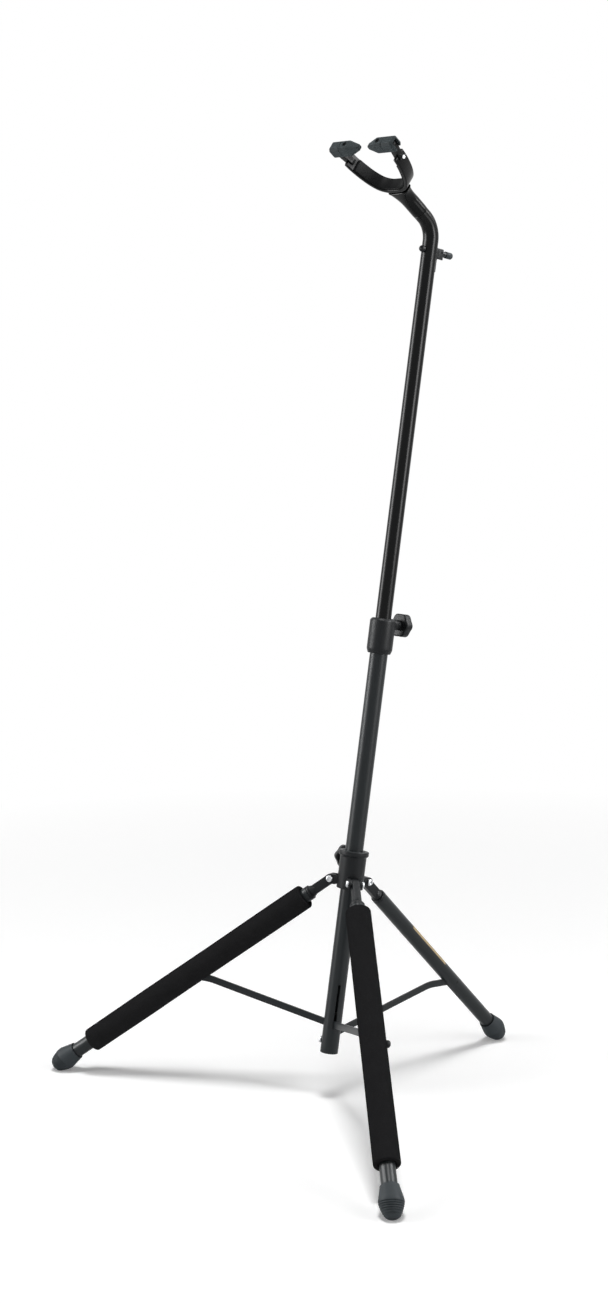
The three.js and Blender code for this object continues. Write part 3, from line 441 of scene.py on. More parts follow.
FOAM_SWELL_BUMP = 0.5
FOAM_PORE_SHARE = 0.6
FOAM_TONES = (0.7, 1.35)
FOAM_PORE_TONE = 0.8
FOAM_SWELL_TONE = 0.4
FOAM_GRIT_GLOSS = 0.1
STEEL_MARK = 0.4
STEEL_MARK_STRETCH = (1.0, 1.0, 6.0)
STEEL_TARNISH = 4.0
STEEL_DEPTH = 0.02
STEEL_BUMP = 0.4
STEEL_TONES = (0.85, 1.05)
STEEL_MARK_GLOSS = 0.12
STEEL_TARNISH_GLOSS = 0.1
# How many finer layers a noise has.
PLAIN = 1.0
COARSE = 2.0
FINE = 3.0
FINEST = 4.0
# Sockets of the Mix node that mix colours.
MIX_FIRST = 6
MIX_SECOND = 7
MIX_RESULT = 2

X = np.array([1.0, 0.0, 0.0])
Y = np.array([0.0, 1.0, 0.0])
Z = np.array([0.0, 0.0, 1.0])


def tone(red, green, blue):
    """A colour written in screen values from 0 to 255, as the linear colour that a shader takes."""
    screen = np.array([red, green, blue]) / SCREEN_FULL
    curved = ((screen + SCREEN_OFFSET) / (1 + SCREEN_OFFSET)) ** SCREEN_POWER
    linear = np.where(screen > SCREEN_KNEE, curved, screen / SCREEN_SLOPE)
    return tuple(float(part) for part in linear)


def unit(vector):
    """The vector at length one."""
    vector = np.asarray(vector, float)
    return vector / np.linalg.norm(vector, axis=-1, keepdims=True)


def turning(count):
    """Angles of points evenly spaced round a full turn."""
    return np.arange(count) * (TURN / count)


# Frames: the mast's, each leg's and the yoke's.
LEAN = np.array(
    [
        [1, 0, 0],
        [0, math.cos(MAST_LEAN), math.sin(MAST_LEAN)],
        [0, -math.sin(MAST_LEAN), math.cos(MAST_LEAN)],
    ]
)


class Leg:
    """One leg with its bar: its own frame has X away from the mast, Y across and Z along the mast."""

    def __init__(self, name, azimuth, side, front):
        self.name, self.side, self.front = name, side, front
        splay = FRONT_SPLAY if front else REAR_SPLAY
        c, s = math.cos(azimuth), math.sin(azimuth)
        self.spin = np.array([[c, -s, 0], [s, c, 0], [0, 0, 1]])
        self.azimuth = azimuth
        self.down = np.array([math.sin(splay), 0, -math.cos(splay)])
        self.under = np.array([self.down[2], 0, -self.down[0]])
        self.top = np.array([HUB_PIVOT_RADIUS, 0, -HUB_PIVOT_RADIUS / math.tan(FRONT_SPLAY)])
        self.bar_pivot_at = FRONT_LEG_PIVOT if front else REAR_LEG_PIVOT
        self.bar_pivot = self.at(self.bar_pivot_at)
        self.mast_pivot = np.array([BAR_PIVOT_RADIUS, 0, FRONT_BAR_PIVOT if front else REAR_BAR_PIVOT])
        bend = FRONT_BEND if front else REAR_BEND
        self.bend = np.array([bend[0], 0, bend[1]])
        # Height lost for each step down the leg, and how far the pivot lies below the mast's origin.
        lean_share = math.sin(splay) * math.sin(azimuth) * math.sin(MAST_LEAN)
        self.rise = lean_share + math.cos(splay) * math.cos(MAST_LEAN)
        self.pivot_drop = (
            HUB_PIVOT_RADIUS * math.sin(azimuth) * math.sin(MAST_LEAN) - self.top[2] * math.cos(MAST_LEAN)
        )

    def at(self, distance):
        """The point of the leg's axis that far below its pivot."""
        return self.top + self.down * distance

    def place(self, points):
        """Leg frame to mast frame to the part's frame."""
        return from_mast(points @ self.spin.T)


LEGS = [
    Leg("left", QUARTER + TURN / 3, -1, True),
    Leg("right", QUARTER - TURN / 3, 1, True),
    Leg("rear", QUARTER, 1, False),
]


def joint_place(name):
    """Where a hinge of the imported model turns, in millimetres."""
    found = next(joint for joint in frame["joints"] if joint["name"] == name)
    return np.array(found["pos_m"]) / MM


ORIGIN = joint_place("spreader_left_turn") - LEAN @ (LEGS[0].spin @ LEGS[0].mast_pivot)


def from_mast(points):
    """Mast frame to the part's frame: leant back about X, then moved to the mast's origin."""
    return points @ LEAN.T + ORIGIN


def set_foot_ends(foot_widest):
    """How far down its axis each leg's foot ends, so that all three stand on the floor. A point of the
    outline lies its radius times the sine of the leg's lean, less its height times the cosine, below the
    end of the axis, and the lowest part is cut flat."""
    radius, height = (np.array(FOOT_SHARES) * [foot_widest, FOOT_LENGTH]).T

    def drop(rise):
        return np.max(radius * math.sqrt(1 - rise * rise) - height * rise) - FOOT_FLAT

    front = LEGS[0]
    top = front.pivot_drop + FRONT_FOOT_REACH * front.rise + drop(front.rise)
    for leg in LEGS:
        leg.foot_end = (top - leg.pivot_drop - drop(leg.rise)) / leg.rise


FORWARD = np.array([0, -math.sin(BEND_ANGLE), math.cos(BEND_ANGLE)])
SQUARE = np.array([0, math.cos(BEND_ANGLE), math.sin(BEND_ANGLE)])


def bend_path(angle):
    """Points of the upper tube's axis on its bend, by the angle turned so far."""
    angle = np.asarray(angle, float)
    back = -BEND_RADIUS * (1 - np.cos(angle))
    return np.stack([0 * angle, back, BEND_START + BEND_RADIUS * np.sin(angle)], axis=-1)


SEAM = bend_path(BEND_ANGLE) + FORWARD * BEND_TAIL


def from_yoke(points):
    """Yoke frame to the part's frame: X is mirrored, F runs along the bent end and N stands square to it."""
    points = np.asarray(points, float)
    parts = [points[..., k : k + 1] * axis for k, axis in enumerate((-X, FORWARD, SQUARE))]
    return from_mast(SEAM + sum(parts))


# Surfaces.
def outward(points, quads, triangles):
    """A closed surface, with all faces turned round where the volume that they enclose comes out negative."""
    corners = np.vstack([quads[:, [0, 1, 2]], quads[:, [0, 2, 3]], triangles])
    a, b, c = points[corners[:, 0]], points[corners[:, 1]], points[corners[:, 2]]
    if np.einsum("ij,ij->", a, np.cross(b, c)) < 0:
        quads, triangles = quads[:, ::-1], triangles[:, ::-1]
    return points, quads, triangles


def skin(rings, loop=False):
    """A closed surface over a grid of rings. Each ring closes on itself. With loop the last ring joins the
    first, and otherwise each end closes with a fan to the middle of its ring."""
    rows, columns = rings.shape[:2]
    number = np.arange(rows * columns).reshape(rows, columns)
    beside = np.roll(number, -1, axis=1)
    points = rings.reshape(-1, 3)
    if loop:
        after, after_beside = np.roll(number, -1, axis=0), np.roll(beside, -1, axis=0)
        quads = np.stack([number, beside, after_beside, after], axis=-1).reshape(-1, 4)
        return outward(points, quads, np.empty((0, 3), int))
    quads = np.stack([number[:-1], beside[:-1], beside[1:], number[1:]], axis=-1).reshape(-1, 4)
    first, last = np.full(columns, len(points)), np.full(columns, len(points) + 1)
    ends = [first, beside[0], number[0]], [last, number[-1], beside[-1]]
    fans = [np.stack(end, axis=-1) for end in ends]
    points = np.vstack([points, rings[0].mean(axis=0), rings[-1].mean(axis=0)])
    return outward(points, quads, np.vstack(fans))


def softened(corners, cut, closed=False):
    """A line through corners with each corner rounded: from a point one cut before the corner to a point one
    cut behind it the line is a quadratic curve that the corner pulls on. A short side limits the cut to half
    of it."""
    corners = np.asarray(corners, float)
    before = np.roll(corners, 1, axis=0) - corners
    after = np.roll(corners, -1, axis=0) - corners
    far_before, far_after = (np.linalg.norm(way, axis=1, keepdims=True) for way in (before, after))
    room = np.minimum(np.minimum(far_before, far_after) * SOFT_ROOM, cut)
    start, end = corners + before / far_before * room, corners + after / far_after * room
    t = np.linspace(0, 1, SOFT_STEPS)[None, :, None]
    curve = (1 - t) ** 2 * start[:, None] + 2 * t * (1 - t) * corners[:, None] + t**2 * end[:, None]
    if closed:
        return curve.reshape(-1, corners.shape[1])
    return np.vstack([corners[:1], curve[1:-1].reshape(-1, corners.shape[1]), corners[-1:]])


def curve_through(points, count):
    """A smooth line through listed points at even steps of its length. Between two points it is a cubic whose
    slopes come from the neighbours, over the square roots of the distances, as in a centripetal spline."""
    points = np.asarray(points, float)
    padded = np.vstack([2 * points[0] - points[1], points, 2 * points[-1] - points[-2]])
    steps = np.sqrt(np.linalg.norm(np.diff(padded, axis=0), axis=1))[:, None]
    way = np.diff(padded, axis=0) / steps
    slope = way[:-1] + way[1:] - (padded[2:] - padded[:-2]) / (steps[:-1] + steps[1:])
    knots = np.concatenate([[0], np.cumsum(steps[1:-1, 0])])
    place = np.linspace(0, knots[-1], count * len(points))
    k = np.clip(np.searchsorted(knots, place, side="right") - 1, 0, len(points) - 2)
    span = np.diff(knots)[k][:, None]
    t = (place[:, None] - knots[k][:, None]) / span
    line = (
        (2 * t**3 - 3 * t**2 + 1) * points[k]
        + (t**3 - 2 * t**2 + t) * span * slope[k]
        + (3 * t**2 - 2 * t**3) * points[k + 1]
        + (t**3 - t**2) * span * slope[k + 1]
    )
    return resampled(line, count)


def lengths(line):
    """The distance of each point of a line from its start, along the line."""
    return np.concatenate([[0], np.cumsum(np.linalg.norm(np.diff(line, axis=0), axis=1))])


def resampled(line, count, low=0.0, high=1.0):
    """A line cut anew at even steps, between two shares of its length."""
    length = lengths(line)
    place = np.linspace(low, high, count) * length[-1]
    return np.stack([np.interp(place, length, line[:, k]) for k in range(line.shape[1])], axis=-1)


def basis(way, side=None):
    """Two directions square to a line, the first as near to a wanted side as it can be, and the line's."""
    way = unit(way)
    side = side if side is not None else (X if abs(way[0]) < HALF else Y)
    side = unit(side - way * (side @ way))
    return side, np.cross(way, side), way


def turned(profile, start, way, facets=FACETS, side=None, swell=1.0):
    """A profile of [radius, height] carried round a line: the point at angle a is start + height along the
    line + radius (cos a, sin a) square to it. Swell is a factor of the radius for each profile point and
    angle."""
    profile = np.asarray(profile, float)
    side, over, way = basis(way, side)
    angle = turning(facets)[:, None]
    around = np.cos(angle) * side + np.sin(angle) * over
    radius = profile[:, 0, None] * swell
    return start + profile[:, 1, None, None] * way + radius[..., None] * around[None]


def rounded_rings(centres, across, up, half_across, half_up, edge):
    """Rectangles with round corners carried along a path: each corner is a quarter circle round a point that
    lies one edge radius inside both sides."""
    quarter = np.linspace(0, QUARTER, CORNER_STEPS)
    angle = (quarter[None] + np.arange(4)[:, None] * QUARTER).ravel()
    sign_across = np.repeat([1, -1, -1, 1], CORNER_STEPS)
    sign_up = np.repeat([1, 1, -1, -1], CORNER_STEPS)
    half_across, half_up = np.broadcast_arrays(half_across, half_up)
    edge = np.minimum(edge, np.minimum(half_across, half_up) * (2 * SOFT_ROOM))
    a = sign_across * (half_across - edge)[:, None] + edge[:, None] * np.cos(angle)
    b = sign_up * (half_up - edge)[:, None] + edge[:, None] * np.sin(angle)
    return centres[:, None] + a[..., None] * across[:, None] + b[..., None] * up[:, None]


def fall(share):
    """How much of an edge's radius is lost at a share of that radius from the edge: a quarter circle."""
    return 1 - np.sqrt(1 - (1 - np.clip(share, 0, 1)) ** 2)


def eased(length, edge):
    """Stations along a length and how far the section is drawn in there, so that both ends are rounded: over
    the last edge of the way the section follows a quarter circle."""
    angle = np.linspace(0, QUARTER, CORNER_STEPS)
    near, drawn = edge * (1 - np.cos(angle)), edge * (1 - np.sin(angle))
    return np.concatenate([near, length - near[::-1]]), np.concatenate([drawn, drawn[::-1]])


def block(low, high, edge):
    """A box with rounded edges between two corners: a rounded rectangle carried along X."""
    low, high = np.asarray(low, float), np.asarray(high, float)
    size, middle = high - low, (high + low) * HALF
    station, drawn = eased(size[0], edge)
    centres = np.stack([low[0] + station, 0 * station + middle[1], 0 * station + middle[2]], axis=-1)
    rows = np.ones((len(station), 1))
    return rounded_rings(centres, rows * Y, rows * Z, size[1] * HALF - drawn, size[2] * HALF - drawn, edge)


def flat_bar(line, half_width, half_thick, edge):
    """A flat bar with round ends along a line in a plane: columns are the line's two directions and the
    thickness. Past each end of the line the half width follows a circle."""
    tangent = unit(np.gradient(line, axis=0))
    angle = np.linspace(BAR_TIP_ANGLE, QUARTER, CORNER_STEPS * 2)[:-1]
    before = line[0] - tangent[0] * (half_width * np.cos(angle))[:, None]
    after = line[-1] + tangent[-1] * (half_width * np.cos(angle[::-1]))[:, None]
    centres = np.vstack([before, line, after])
    flat = np.vstack([0 * before + tangent[0], tangent, 0 * after + tangent[-1]])
    width = np.concatenate([np.sin(angle), np.ones(len(line)), np.sin(angle[::-1])]) * half_width
    centres = np.column_stack([centres, np.zeros(len(centres))])
    across = np.column_stack([-flat[:, 1], flat[:, 0], np.zeros(len(flat))])
    return rounded_rings(centres, across, np.ones((len(flat), 1)) * Z, width, half_thick, edge)


def band(line, inner, outer, half_height, edge):
    """A band beside a line in a plane, from one offset to another, with rounded edges and ends. The offset is
    measured to the right of the line."""
    tangent = unit(np.gradient(line, axis=0))
    right = np.column_stack([tangent[:, 1], -tangent[:, 0]])
    length = lengths(line)
    drawn = edge * fall(np.minimum(length, length[-1] - length) / edge)
    centres = np.column_stack([line + right * ((inner + outer) * HALF), np.zeros(len(line))])
    across = np.column_stack([right, np.zeros(len(line))])
    half_wall = (outer - inner) * HALF - drawn
    return rounded_rings(centres, across, np.ones((len(line), 1)) * Z, half_wall, half_height - drawn, edge)


def slotted_tube(outer, inner, length, slots, edge, lip, bulge=0.0, flare=0.0):
    """A round tube with slots through its wall, on a grid of angle and length. A slot is (angle, half width,
    low, high). The outer radius falls by a quarter circle near the ends and near a slot. The cells in a slot
    are left out, and wall faces join the outer and inner surface round each slot and at both ends. The outer
    radius also swells and shrinks by the bulge, as the sine of the length times a cosine of twice the angle,
    and the bore widens by the flare at both ends."""
    ease = np.array(EDGE_SHARES)
    columns = [turning(FACETS)]
    rows = [np.linspace(0, length, TUBE_ROWS), ease * edge, length - ease * edge]
    for angle, half_width, low, high in slots:
        reach = (half_width + ease * lip) / outer
        columns += [angle + reach, angle - reach]
        rows += [low - ease * lip, high + ease * lip]
    theta = np.unique(np.round(np.concatenate(columns) % TURN, ANGLE_DIGITS))
    along = np.unique(np.round(np.clip(np.concatenate(rows), 0, length), LENGTH_DIGITS))
    middle_theta = theta + np.diff(np.append(theta, theta[0] + TURN)) * HALF
    middle_along = (along[1:] + along[:-1]) * HALF
    hole = np.zeros((len(along) - 1, len(theta)), bool)
    drawn = np.zeros((len(along), len(theta)))
    ends = np.minimum(along, length - along)[:, None]
    for angle, half_width, low, high in slots:
        aside = np.abs((middle_theta - angle + TURN * HALF) % TURN - TURN * HALF) * outer
        hole |= (middle_along[:, None] > low) & (middle_along[:, None] < high) & (aside[None] < half_width)
        aside = np.abs((theta - angle + TURN * HALF) % TURN - TURN * HALF) * outer - half_width
        beyond = np.maximum(low - along, along - high)[:, None]
        distance = np.hypot(np.maximum(aside, 0)[None], np.maximum(beyond, 0))
        drawn = np.maximum(drawn, lip * fall(distance / lip))
    drawn = np.maximum(drawn, edge * fall(ends / edge))
    wave = bulge * np.sin(along / (outer * 2))[:, None] * np.cos(2 * theta + HALF)[None]
    around = np.stack([np.cos(theta), np.sin(theta)], axis=-1)[None]
    upright = np.broadcast_to(along[:, None, None], (len(along), len(theta), 1))
    shells = [
        np.concatenate([radius[..., None] * around, upright], axis=-1)
        for radius in (outer + wave - drawn, inner + flare * fall(ends / edge) + 0 * drawn)
    ]
    number = np.arange(len(along) * len(theta)).reshape(len(along), len(theta))
    second = number + number.size
    beside, second_beside = np.roll(number, -1, axis=1), np.roll(second, -1, axis=1)
    solid = ~hole
    skins = [
        np.stack([number[:-1], beside[:-1], beside[1:], number[1:]], axis=-1)[solid],
        np.stack([second[:-1], second[1:], second_beside[1:], second_beside[:-1]], axis=-1)[solid],
    ]
    side_wall = np.stack([second[:-1], second[1:], number[1:], number[:-1]], axis=-1)
    before = np.roll(solid, 1, axis=1)
    skins += [side_wall[before & hole], side_wall[~before & solid][:, ::-1]]
    end_wall = np.stack([second, number, beside, second_beside], axis=-1)
    shut = np.vstack([np.zeros((1, len(theta)), bool), solid, np.zeros((1, len(theta)), bool)])
    skins += [end_wall[shut[:-1] & ~shut[1:]], end_wall[~shut[:-1] & shut[1:]][:, ::-1]]
    quads = np.vstack(skins)
    used, quads = np.unique(quads, return_inverse=True)
    points = np.concatenate([shell.reshape(-1, 3) for shell in shells])[used]
    return points, quads.reshape(-1, 4)


def laid(shell, start, side, way):
    """A surface set on the line from start along way, with its own first direction towards side."""
    points, quads = shell
    return outward(start + points @ np.stack(basis(way, side)), quads, np.empty((0, 3), int))


def moved(surface, place):
    """A closed surface after a change of frame."""
    return outward(place(surface[0]), surface[1], surface[2])


def rod(radius, length, edge, start, way, facets=FACETS):
    """A round bar with softened ends, from start along way."""
    corners = [[radius * HALF, 0], [radius, 0], [radius, length], [radius * HALF, length]]
    return turned(softened(corners, edge), start, way, facets)


def upright_bar(line, half_width, half_thick, edge):
    """A flat bar along a line in a leg's plane, with its thickness across."""
    return flat_bar(line[:, [0, 2]], half_width, half_thick, edge)[..., [0, 2, 1]]


def round_mast(corners, edge):
    """A closed profile with softened corners, carried round the mast."""
    return skin(from_mast(turned(softened(corners, edge, closed=True), 0 * Z, Z)), True)


def bush(inner, outer, low, high, edge):
    """A short tube round the mast."""
    return round_mast([[inner, low], [outer, low], [outer, high], [inner, high]], edge)


def boss(radius, bore, length, azimuth, height):
    """The round boss that carries a knob, from just outside the bore."""
    way = np.array([math.cos(azimuth), math.sin(azimuth), 0])
    start = way * (bore + BOSS_ROOT) + Z * height
    return skin(from_mast(rod(radius, length - bore - BOSS_ROOT, HUB_EDGE, start, way)))


def hexagon(facets):
    """The radius of a hexagon at each angle, as a share of its corner's."""
    half_side = TURN / 12
    angle = (turning(facets) + half_side) % (2 * half_side) - half_side
    return math.cos(half_side) / np.cos(angle)


def socket_head(radius, height, start, way):
    """A domed screw head with a socket: a softened profile with a hexagon's radius on its inner rings."""
    dome = softened(np.array(SOCKET_HEAD_SHARES) * [radius, height], radius * SOCKET_EDGE_SHARE)
    socket = radius * SOCKET_SHARE
    inside = [[socket, height - SOCKET_RIM], [socket, height * (1 - SOCKET_DEPTH_SHARE)]]
    swell = np.ones((len(dome) + 2, SMALL_FACETS))
    swell[-2:] = hexagon(SMALL_FACETS)
    return turned(np.vstack([dome, inside]), start, way, facets=SMALL_FACETS, swell=swell)


def dome_profile(radius, height):
    """The profile of a plain domed head."""
    angle = np.linspace(0, DOME_TOP_ANGLE, DOME_ROWS)
    side = height * DOME_SIDE_SHARE
    crown = np.column_stack([radius * np.cos(angle), side + (height - side) * np.sin(angle)])
    return np.vstack([[[radius * DOME_FOOT_SHARE, 0], [radius, DOME_FOOT]], crown])


def new_object(name, surfaces):
    """An object in the scene, with closed surfaces as one mesh in metres."""
    faces, points, first = [], [], 0
    for shell_points, quads, triangles in surfaces:
        faces += (quads + first).tolist() + (triangles + first).tolist()
        points.append(shell_points)
        first += len(shell_points)
    mesh = bpy.data.meshes.new(name)
    mesh.from_pydata((np.vstack(points) * MM).tolist(), [], faces)
    thing = bpy.data.objects.new(name, mesh)
    bpy.context.scene.collection.objects.link(thing)
    return thing


def carve(piece, tool):
    """Takes the volume of a tool out of a piece, and the tool out of the scene."""
    cut = piece.modifiers.new("cut", "BOOLEAN")
    cut.operation, cut.solver, cut.object = "DIFFERENCE", "EXACT", tool
    shape = bpy.data.meshes.new_from_object(piece.evaluated_get(bpy.context.evaluated_depsgraph_get()))
    piece.modifiers.clear()
    piece.data = shape
    bpy.data.objects.remove(tool)


def put(name, surfaces, body, look, nodes, tools=()):
    """Adds a smooth piece to the scene: its surfaces, less the tools. It rides on its body, stands for its
    CAD nodes and takes the finish of its look."""
    piece = new_object(name, surfaces)
    for k, tool in enumerate(tools):
        carve(piece, new_object(f"{name}_tool_{k}", [tool]))
    piece.data.shade_smooth()
    piece.data.set_sharp_from_angle(angle=CREASE)
    piece.data.materials.clear()
    piece.data.materials.append(finish(look))
    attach(piece, body)
    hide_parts(*nodes)
    return piece


# Finishes.
class Tap:
    """A shader socket that takes part in sums: each operator adds one Math node."""

    def __init__(self, sheet, socket):
        self.sheet, self.socket = sheet, socket

    def worked(self, operation, *parts):
        """The result of a Math node on sockets and numbers."""
        node = self.sheet.node("ShaderNodeMath", {"operation": operation}, dict(enumerate(parts)))
        return Tap(self.sheet, node.outputs[0])

    def __add__(self, other):
        return self.worked("ADD", self, other)

    def __sub__(self, other):
        return self.worked("SUBTRACT", self, other)

    def __rsub__(self, other):
        return self.worked("SUBTRACT", other, self)

    def __mul__(self, other):
        return self.worked("MULTIPLY", self, other)

    def clipped(self):
        """The value, kept from 0 to 1."""
        return self.worked("MINIMUM", self.worked("MAXIMUM", self, 0.0), 1.0)

    __radd__ = __add__
    __rmul__ = __mul__


class Sheet:
    """The node sheet of one finish, world or stage material."""

    def __init__(self, tree):
        self.tree = tree
        self.tree.nodes.clear()

    def node(self, kind, settings=None, sockets=None):
        """Adds a node of a type, with its settings first and then the values or links of its sockets."""
        node = self.tree.nodes.new(kind)
        for name, value in (settings or {}).items():
            setattr(node, name, value)
        for name, value in (sockets or {}).items():
            if isinstance(value, Tap):
                self.tree.links.new(value.socket, node.inputs[name])
            else:
                node.inputs[name].default_value = value
        return node

    def tap(self, kind, output, settings=None, sockets=None):
        """The same, for one output of the new node."""
        return Tap(self, self.node(kind, settings, sockets).outputs[output])

    def place(self):
        """Object coordinates, in metres."""
        return self.tap("ShaderNodeTexCoord", "Object")

    def noise(self, size, detail, stretch=None):
        """Noise from 0 to 1 whose patches are about one size across, pressed closer along the axes."""
        where = self.place()
        if stretch is not None:
            where = self.tap("ShaderNodeMapping", "Vector", None, {"Vector": where, "Scale": stretch})
        sockets = {"Vector": where, "Scale": 1 / (size * MM), "Detail": detail}
        return self.tap("ShaderNodeTexNoise", "Fac", None, sockets)

    def cells(self, size, feature):
        """Distance from the middles of round cells that are about one size across."""
        sockets = {"Vector": self.place(), "Scale": 1 / (size * MM)}
        return self.tap("ShaderNodeTexVoronoi", "Distance", {"feature": feature}, sockets)

    def tones(self, factor, colour, shares):
        """A colour between a darker and a lighter share of itself."""
        low, high = (shade(colour, share) for share in shares)
        sockets = {"Factor": factor, MIX_FIRST: low, MIX_SECOND: high}
        return self.tap("ShaderNodeMix", MIX_RESULT, {"data_type": "RGBA"}, sockets)

    def bump(self, height, depth, strength, **under):
        """A normal tilted by a height from 0 to 1 over a depth, on top of another where one is given."""
        sockets = {"Height": height, "Distance": depth * MM, "Strength": strength, **under}
        return self.tap("ShaderNodeBump", "Normal", None, sockets)


def shade(colour, share):
    """A colour made lighter or darker, with its alpha."""
    return tuple(min(1.0, part * share) for part in colour[:3]) + (1.0,)


def powder_coat(sheet, colour, gloss):
    """Black powder coat: a fine orange peel under the gloss, with faint clouds in tone and gloss."""
    clouds = sheet.noise(COAT_CLOUD, FINE)
    peel = sheet.noise(COAT_PEEL, PLAIN)
    grit = sheet.noise(COAT_GRIT, COARSE)
    height = peel * COAT_PEEL_SHARE + grit * (1 - COAT_PEEL_SHARE)
    return {
        "Base Color": sheet.tones(clouds, colour, COAT_TONES),
        "Roughness": gloss + clouds * COAT_CLOUD_GLOSS + grit * COAT_GRIT_GLOSS,
        "Normal": sheet.bump(height, COAT_DEPTH, COAT_BUMP),
    }


def moulded(sheet, colour, gloss):
    """Moulded plastic: a pebbled grain from rounded cells, and slight flow marks in tone and gloss."""
    cells = sheet.cells(PLASTIC_CELL, "SMOOTH_F1")
    flow = sheet.noise(PLASTIC_FLOW, FINE)
    return {
        "Base Color": sheet.tones(flow, colour, PLASTIC_TONES),
        "Roughness": gloss + flow * PLASTIC_FLOW_GLOSS - cells * PLASTIC_CELL_GLOSS,
        "Normal": sheet.bump(cells, PLASTIC_DEPTH, PLASTIC_BUMP),
    }


def soft_rubber(sheet, colour, gloss):
    """Matt rubber: a very fine grit, and dust-like clouds that lighten it."""
    clouds = sheet.noise(RUBBER_CLOUD, FINEST)
    grit = sheet.noise(RUBBER_GRIT, FINE)
    return {
        "Base Color": sheet.tones(clouds, colour, RUBBER_TONES),
        "Roughness": gloss + grit * RUBBER_GRIT_GLOSS,
        "Normal": sheet.bump(grit, RUBBER_DEPTH, RUBBER_BUMP),
    }


def cell_foam(sheet, colour, gloss):
    """Closed-cell foam: small pores from a cell pattern over a soft unevenness, nearly without gloss."""
    pores = sheet.cells(FOAM_PORE, "F1")
    fine = sheet.noise(FOAM_GRIT, FINE)
    soft = sheet.noise(FOAM_SWELL, COARSE)
    height = pores * FOAM_PORE_SHARE + fine * (1 - FOAM_PORE_SHARE)
    light = (pores * FOAM_PORE_TONE + soft * FOAM_SWELL_TONE).clipped()
    uneven = sheet.bump(soft, FOAM_SWELL_DEPTH, FOAM_SWELL_BUMP)
    return {
        "Base Color": sheet.tones(light, colour, FOAM_TONES),
        "Roughness": gloss + fine * FOAM_GRIT_GLOSS,
        "Normal": sheet.bump(height, FOAM_DEPTH, FOAM_BUMP, Normal=uneven),
    }


def bright_metal(sheet, colour, gloss):
    """Bright steel: fine turning marks and a little tarnish in the gloss."""
    marks = sheet.noise(STEEL_MARK, COARSE, STEEL_MARK_STRETCH)
    tarnish = sheet.noise(STEEL_TARNISH, FINE)
    return {
        "Base Color": sheet.tones(tarnish, colour, STEEL_TONES),
        "Metallic": 1.0,
        "Roughness": gloss + marks * STEEL_MARK_GLOSS + tarnish * STEEL_TARNISH_GLOSS,
        "Normal": sheet.bump(marks, STEEL_DEPTH, STEEL_BUMP),
    }


# Looks: slot in the frame, kind of finish, least roughness and specular level. The panel has their colours.
LOOKS = {
    # The satin and gloss looks are one black paint: the satin colour is painted lighter, as painted light
    # from the pale floor on the lower parts.
    "satin": ("tube_paint", powder_coat, 0.3, 0.2),
    "gloss": ("tube_paint", powder_coat, 0.17, 0.13),
    "plastic": ("moulded_plastic", moulded, 0.38, 0.15),
    "yoke": ("moulded_plastic", moulded, 0.18, 0.1),
    "gate": ("gate_plastic", moulded, 0.55, 0.05),
    "pad": ("pad_rubber", soft_rubber, 0.6, 0.05),
    "bush": ("bush_plastic", moulded, 0.5, 0.15),
    "foot": ("foot_rubber", soft_rubber, 0.5, 0.12),
    "liner": ("liner_rubber", soft_rubber, 0.4, 0.06),
    "foam": ("sleeve_foam", cell_foam, 0.86, 0.0),
    "steel": ("bright_steel", bright_metal, 0.2, 0.5),
    "strip": ("moulded_plastic", moulded, 0.55, 0.15),
}


def finish(look):
    """The finish of a look, built the first time that it is needed. No material of the frame has its name."""
    name = "stand_" + look
    found = bpy.data.materials.get(name)
    if found:
        return found
    material = bpy.data.materials.new(name)
    material.use_nodes = True
    sheet = Sheet(material.node_tree)
    colour = getattr(bpy.context.scene.stand_colours, look)
    _, build, gloss, level = LOOKS[look]
    sockets = {"Specular IOR Level": level, **build(sheet, colour, gloss)}
    shader = sheet.tap("ShaderNodeBsdfPrincipled", "BSDF", None, sockets)
    sheet.node("ShaderNodeOutputMaterial", None, {"Surface": shader})
    return material


def size_property(name, description, millimetres):
    """A length in the panel, with its default in metres."""
    return bpy.props.FloatProperty(
        name=name, description=description, default=millimetres * MM, min=0.0, unit="LENGTH", precision=4
    )


def colour_property(name, description, red, green, blue):
    """A colour in the panel, from screen values."""
    return bpy.props.FloatVectorProperty(
        name=name, description=description, default=tone(red, green, blue), min=0.0, max=1.0, subtype="COLOR"
    )


class StandSizes(bpy.types.PropertyGroup):
    """Sizes of the stand's pieces."""

    lower_radius: size_property("Lower tube", "Outer radius of the lower mast tube", 12.25)
    upper_radius: size_property("Upper tube", "Outer radius of the upper mast tube", 10.7)
    leg_radius: size_property("Leg tube", "Outer radius of a leg tube", 10.1)
    tube_wall: size_property("Tube wall", "Wall of every tube", 1.2)
    sleeve_radius: size_property("Sleeve", "Outer radius of a foam sleeve", 17.1)
    sleeve_edge: size_property("Sleeve edge", "Rounding of a foam sleeve's ends", 2.4)
    bar_height: size_property("Bar height", "Height of a spreader bar", 9.4)
    bar_thick: size_property("Bar thickness", "Thickness of a spreader bar", 3.0)
    foot_widest: size_property("Foot", "Widest radius of a rubber foot", 16.0)
    ring_depth: size_property("Foot rings", "Depth of the rings round a rubber foot", 1.2)
    knob_radius: size_property("Knob", "Radius of a knob over its lobes", 17.0)
    fork_half_height: size_property("Fork", "Half of the fork band's height", 10.0)
    foot_rings: bpy.props.IntProperty(
        name="Rings", description="Number of rings round a rubber foot", default=6, min=0, max=12
    )

    def mm(self, name):
        """A size in millimetres."""
        return getattr(self, name) / MM


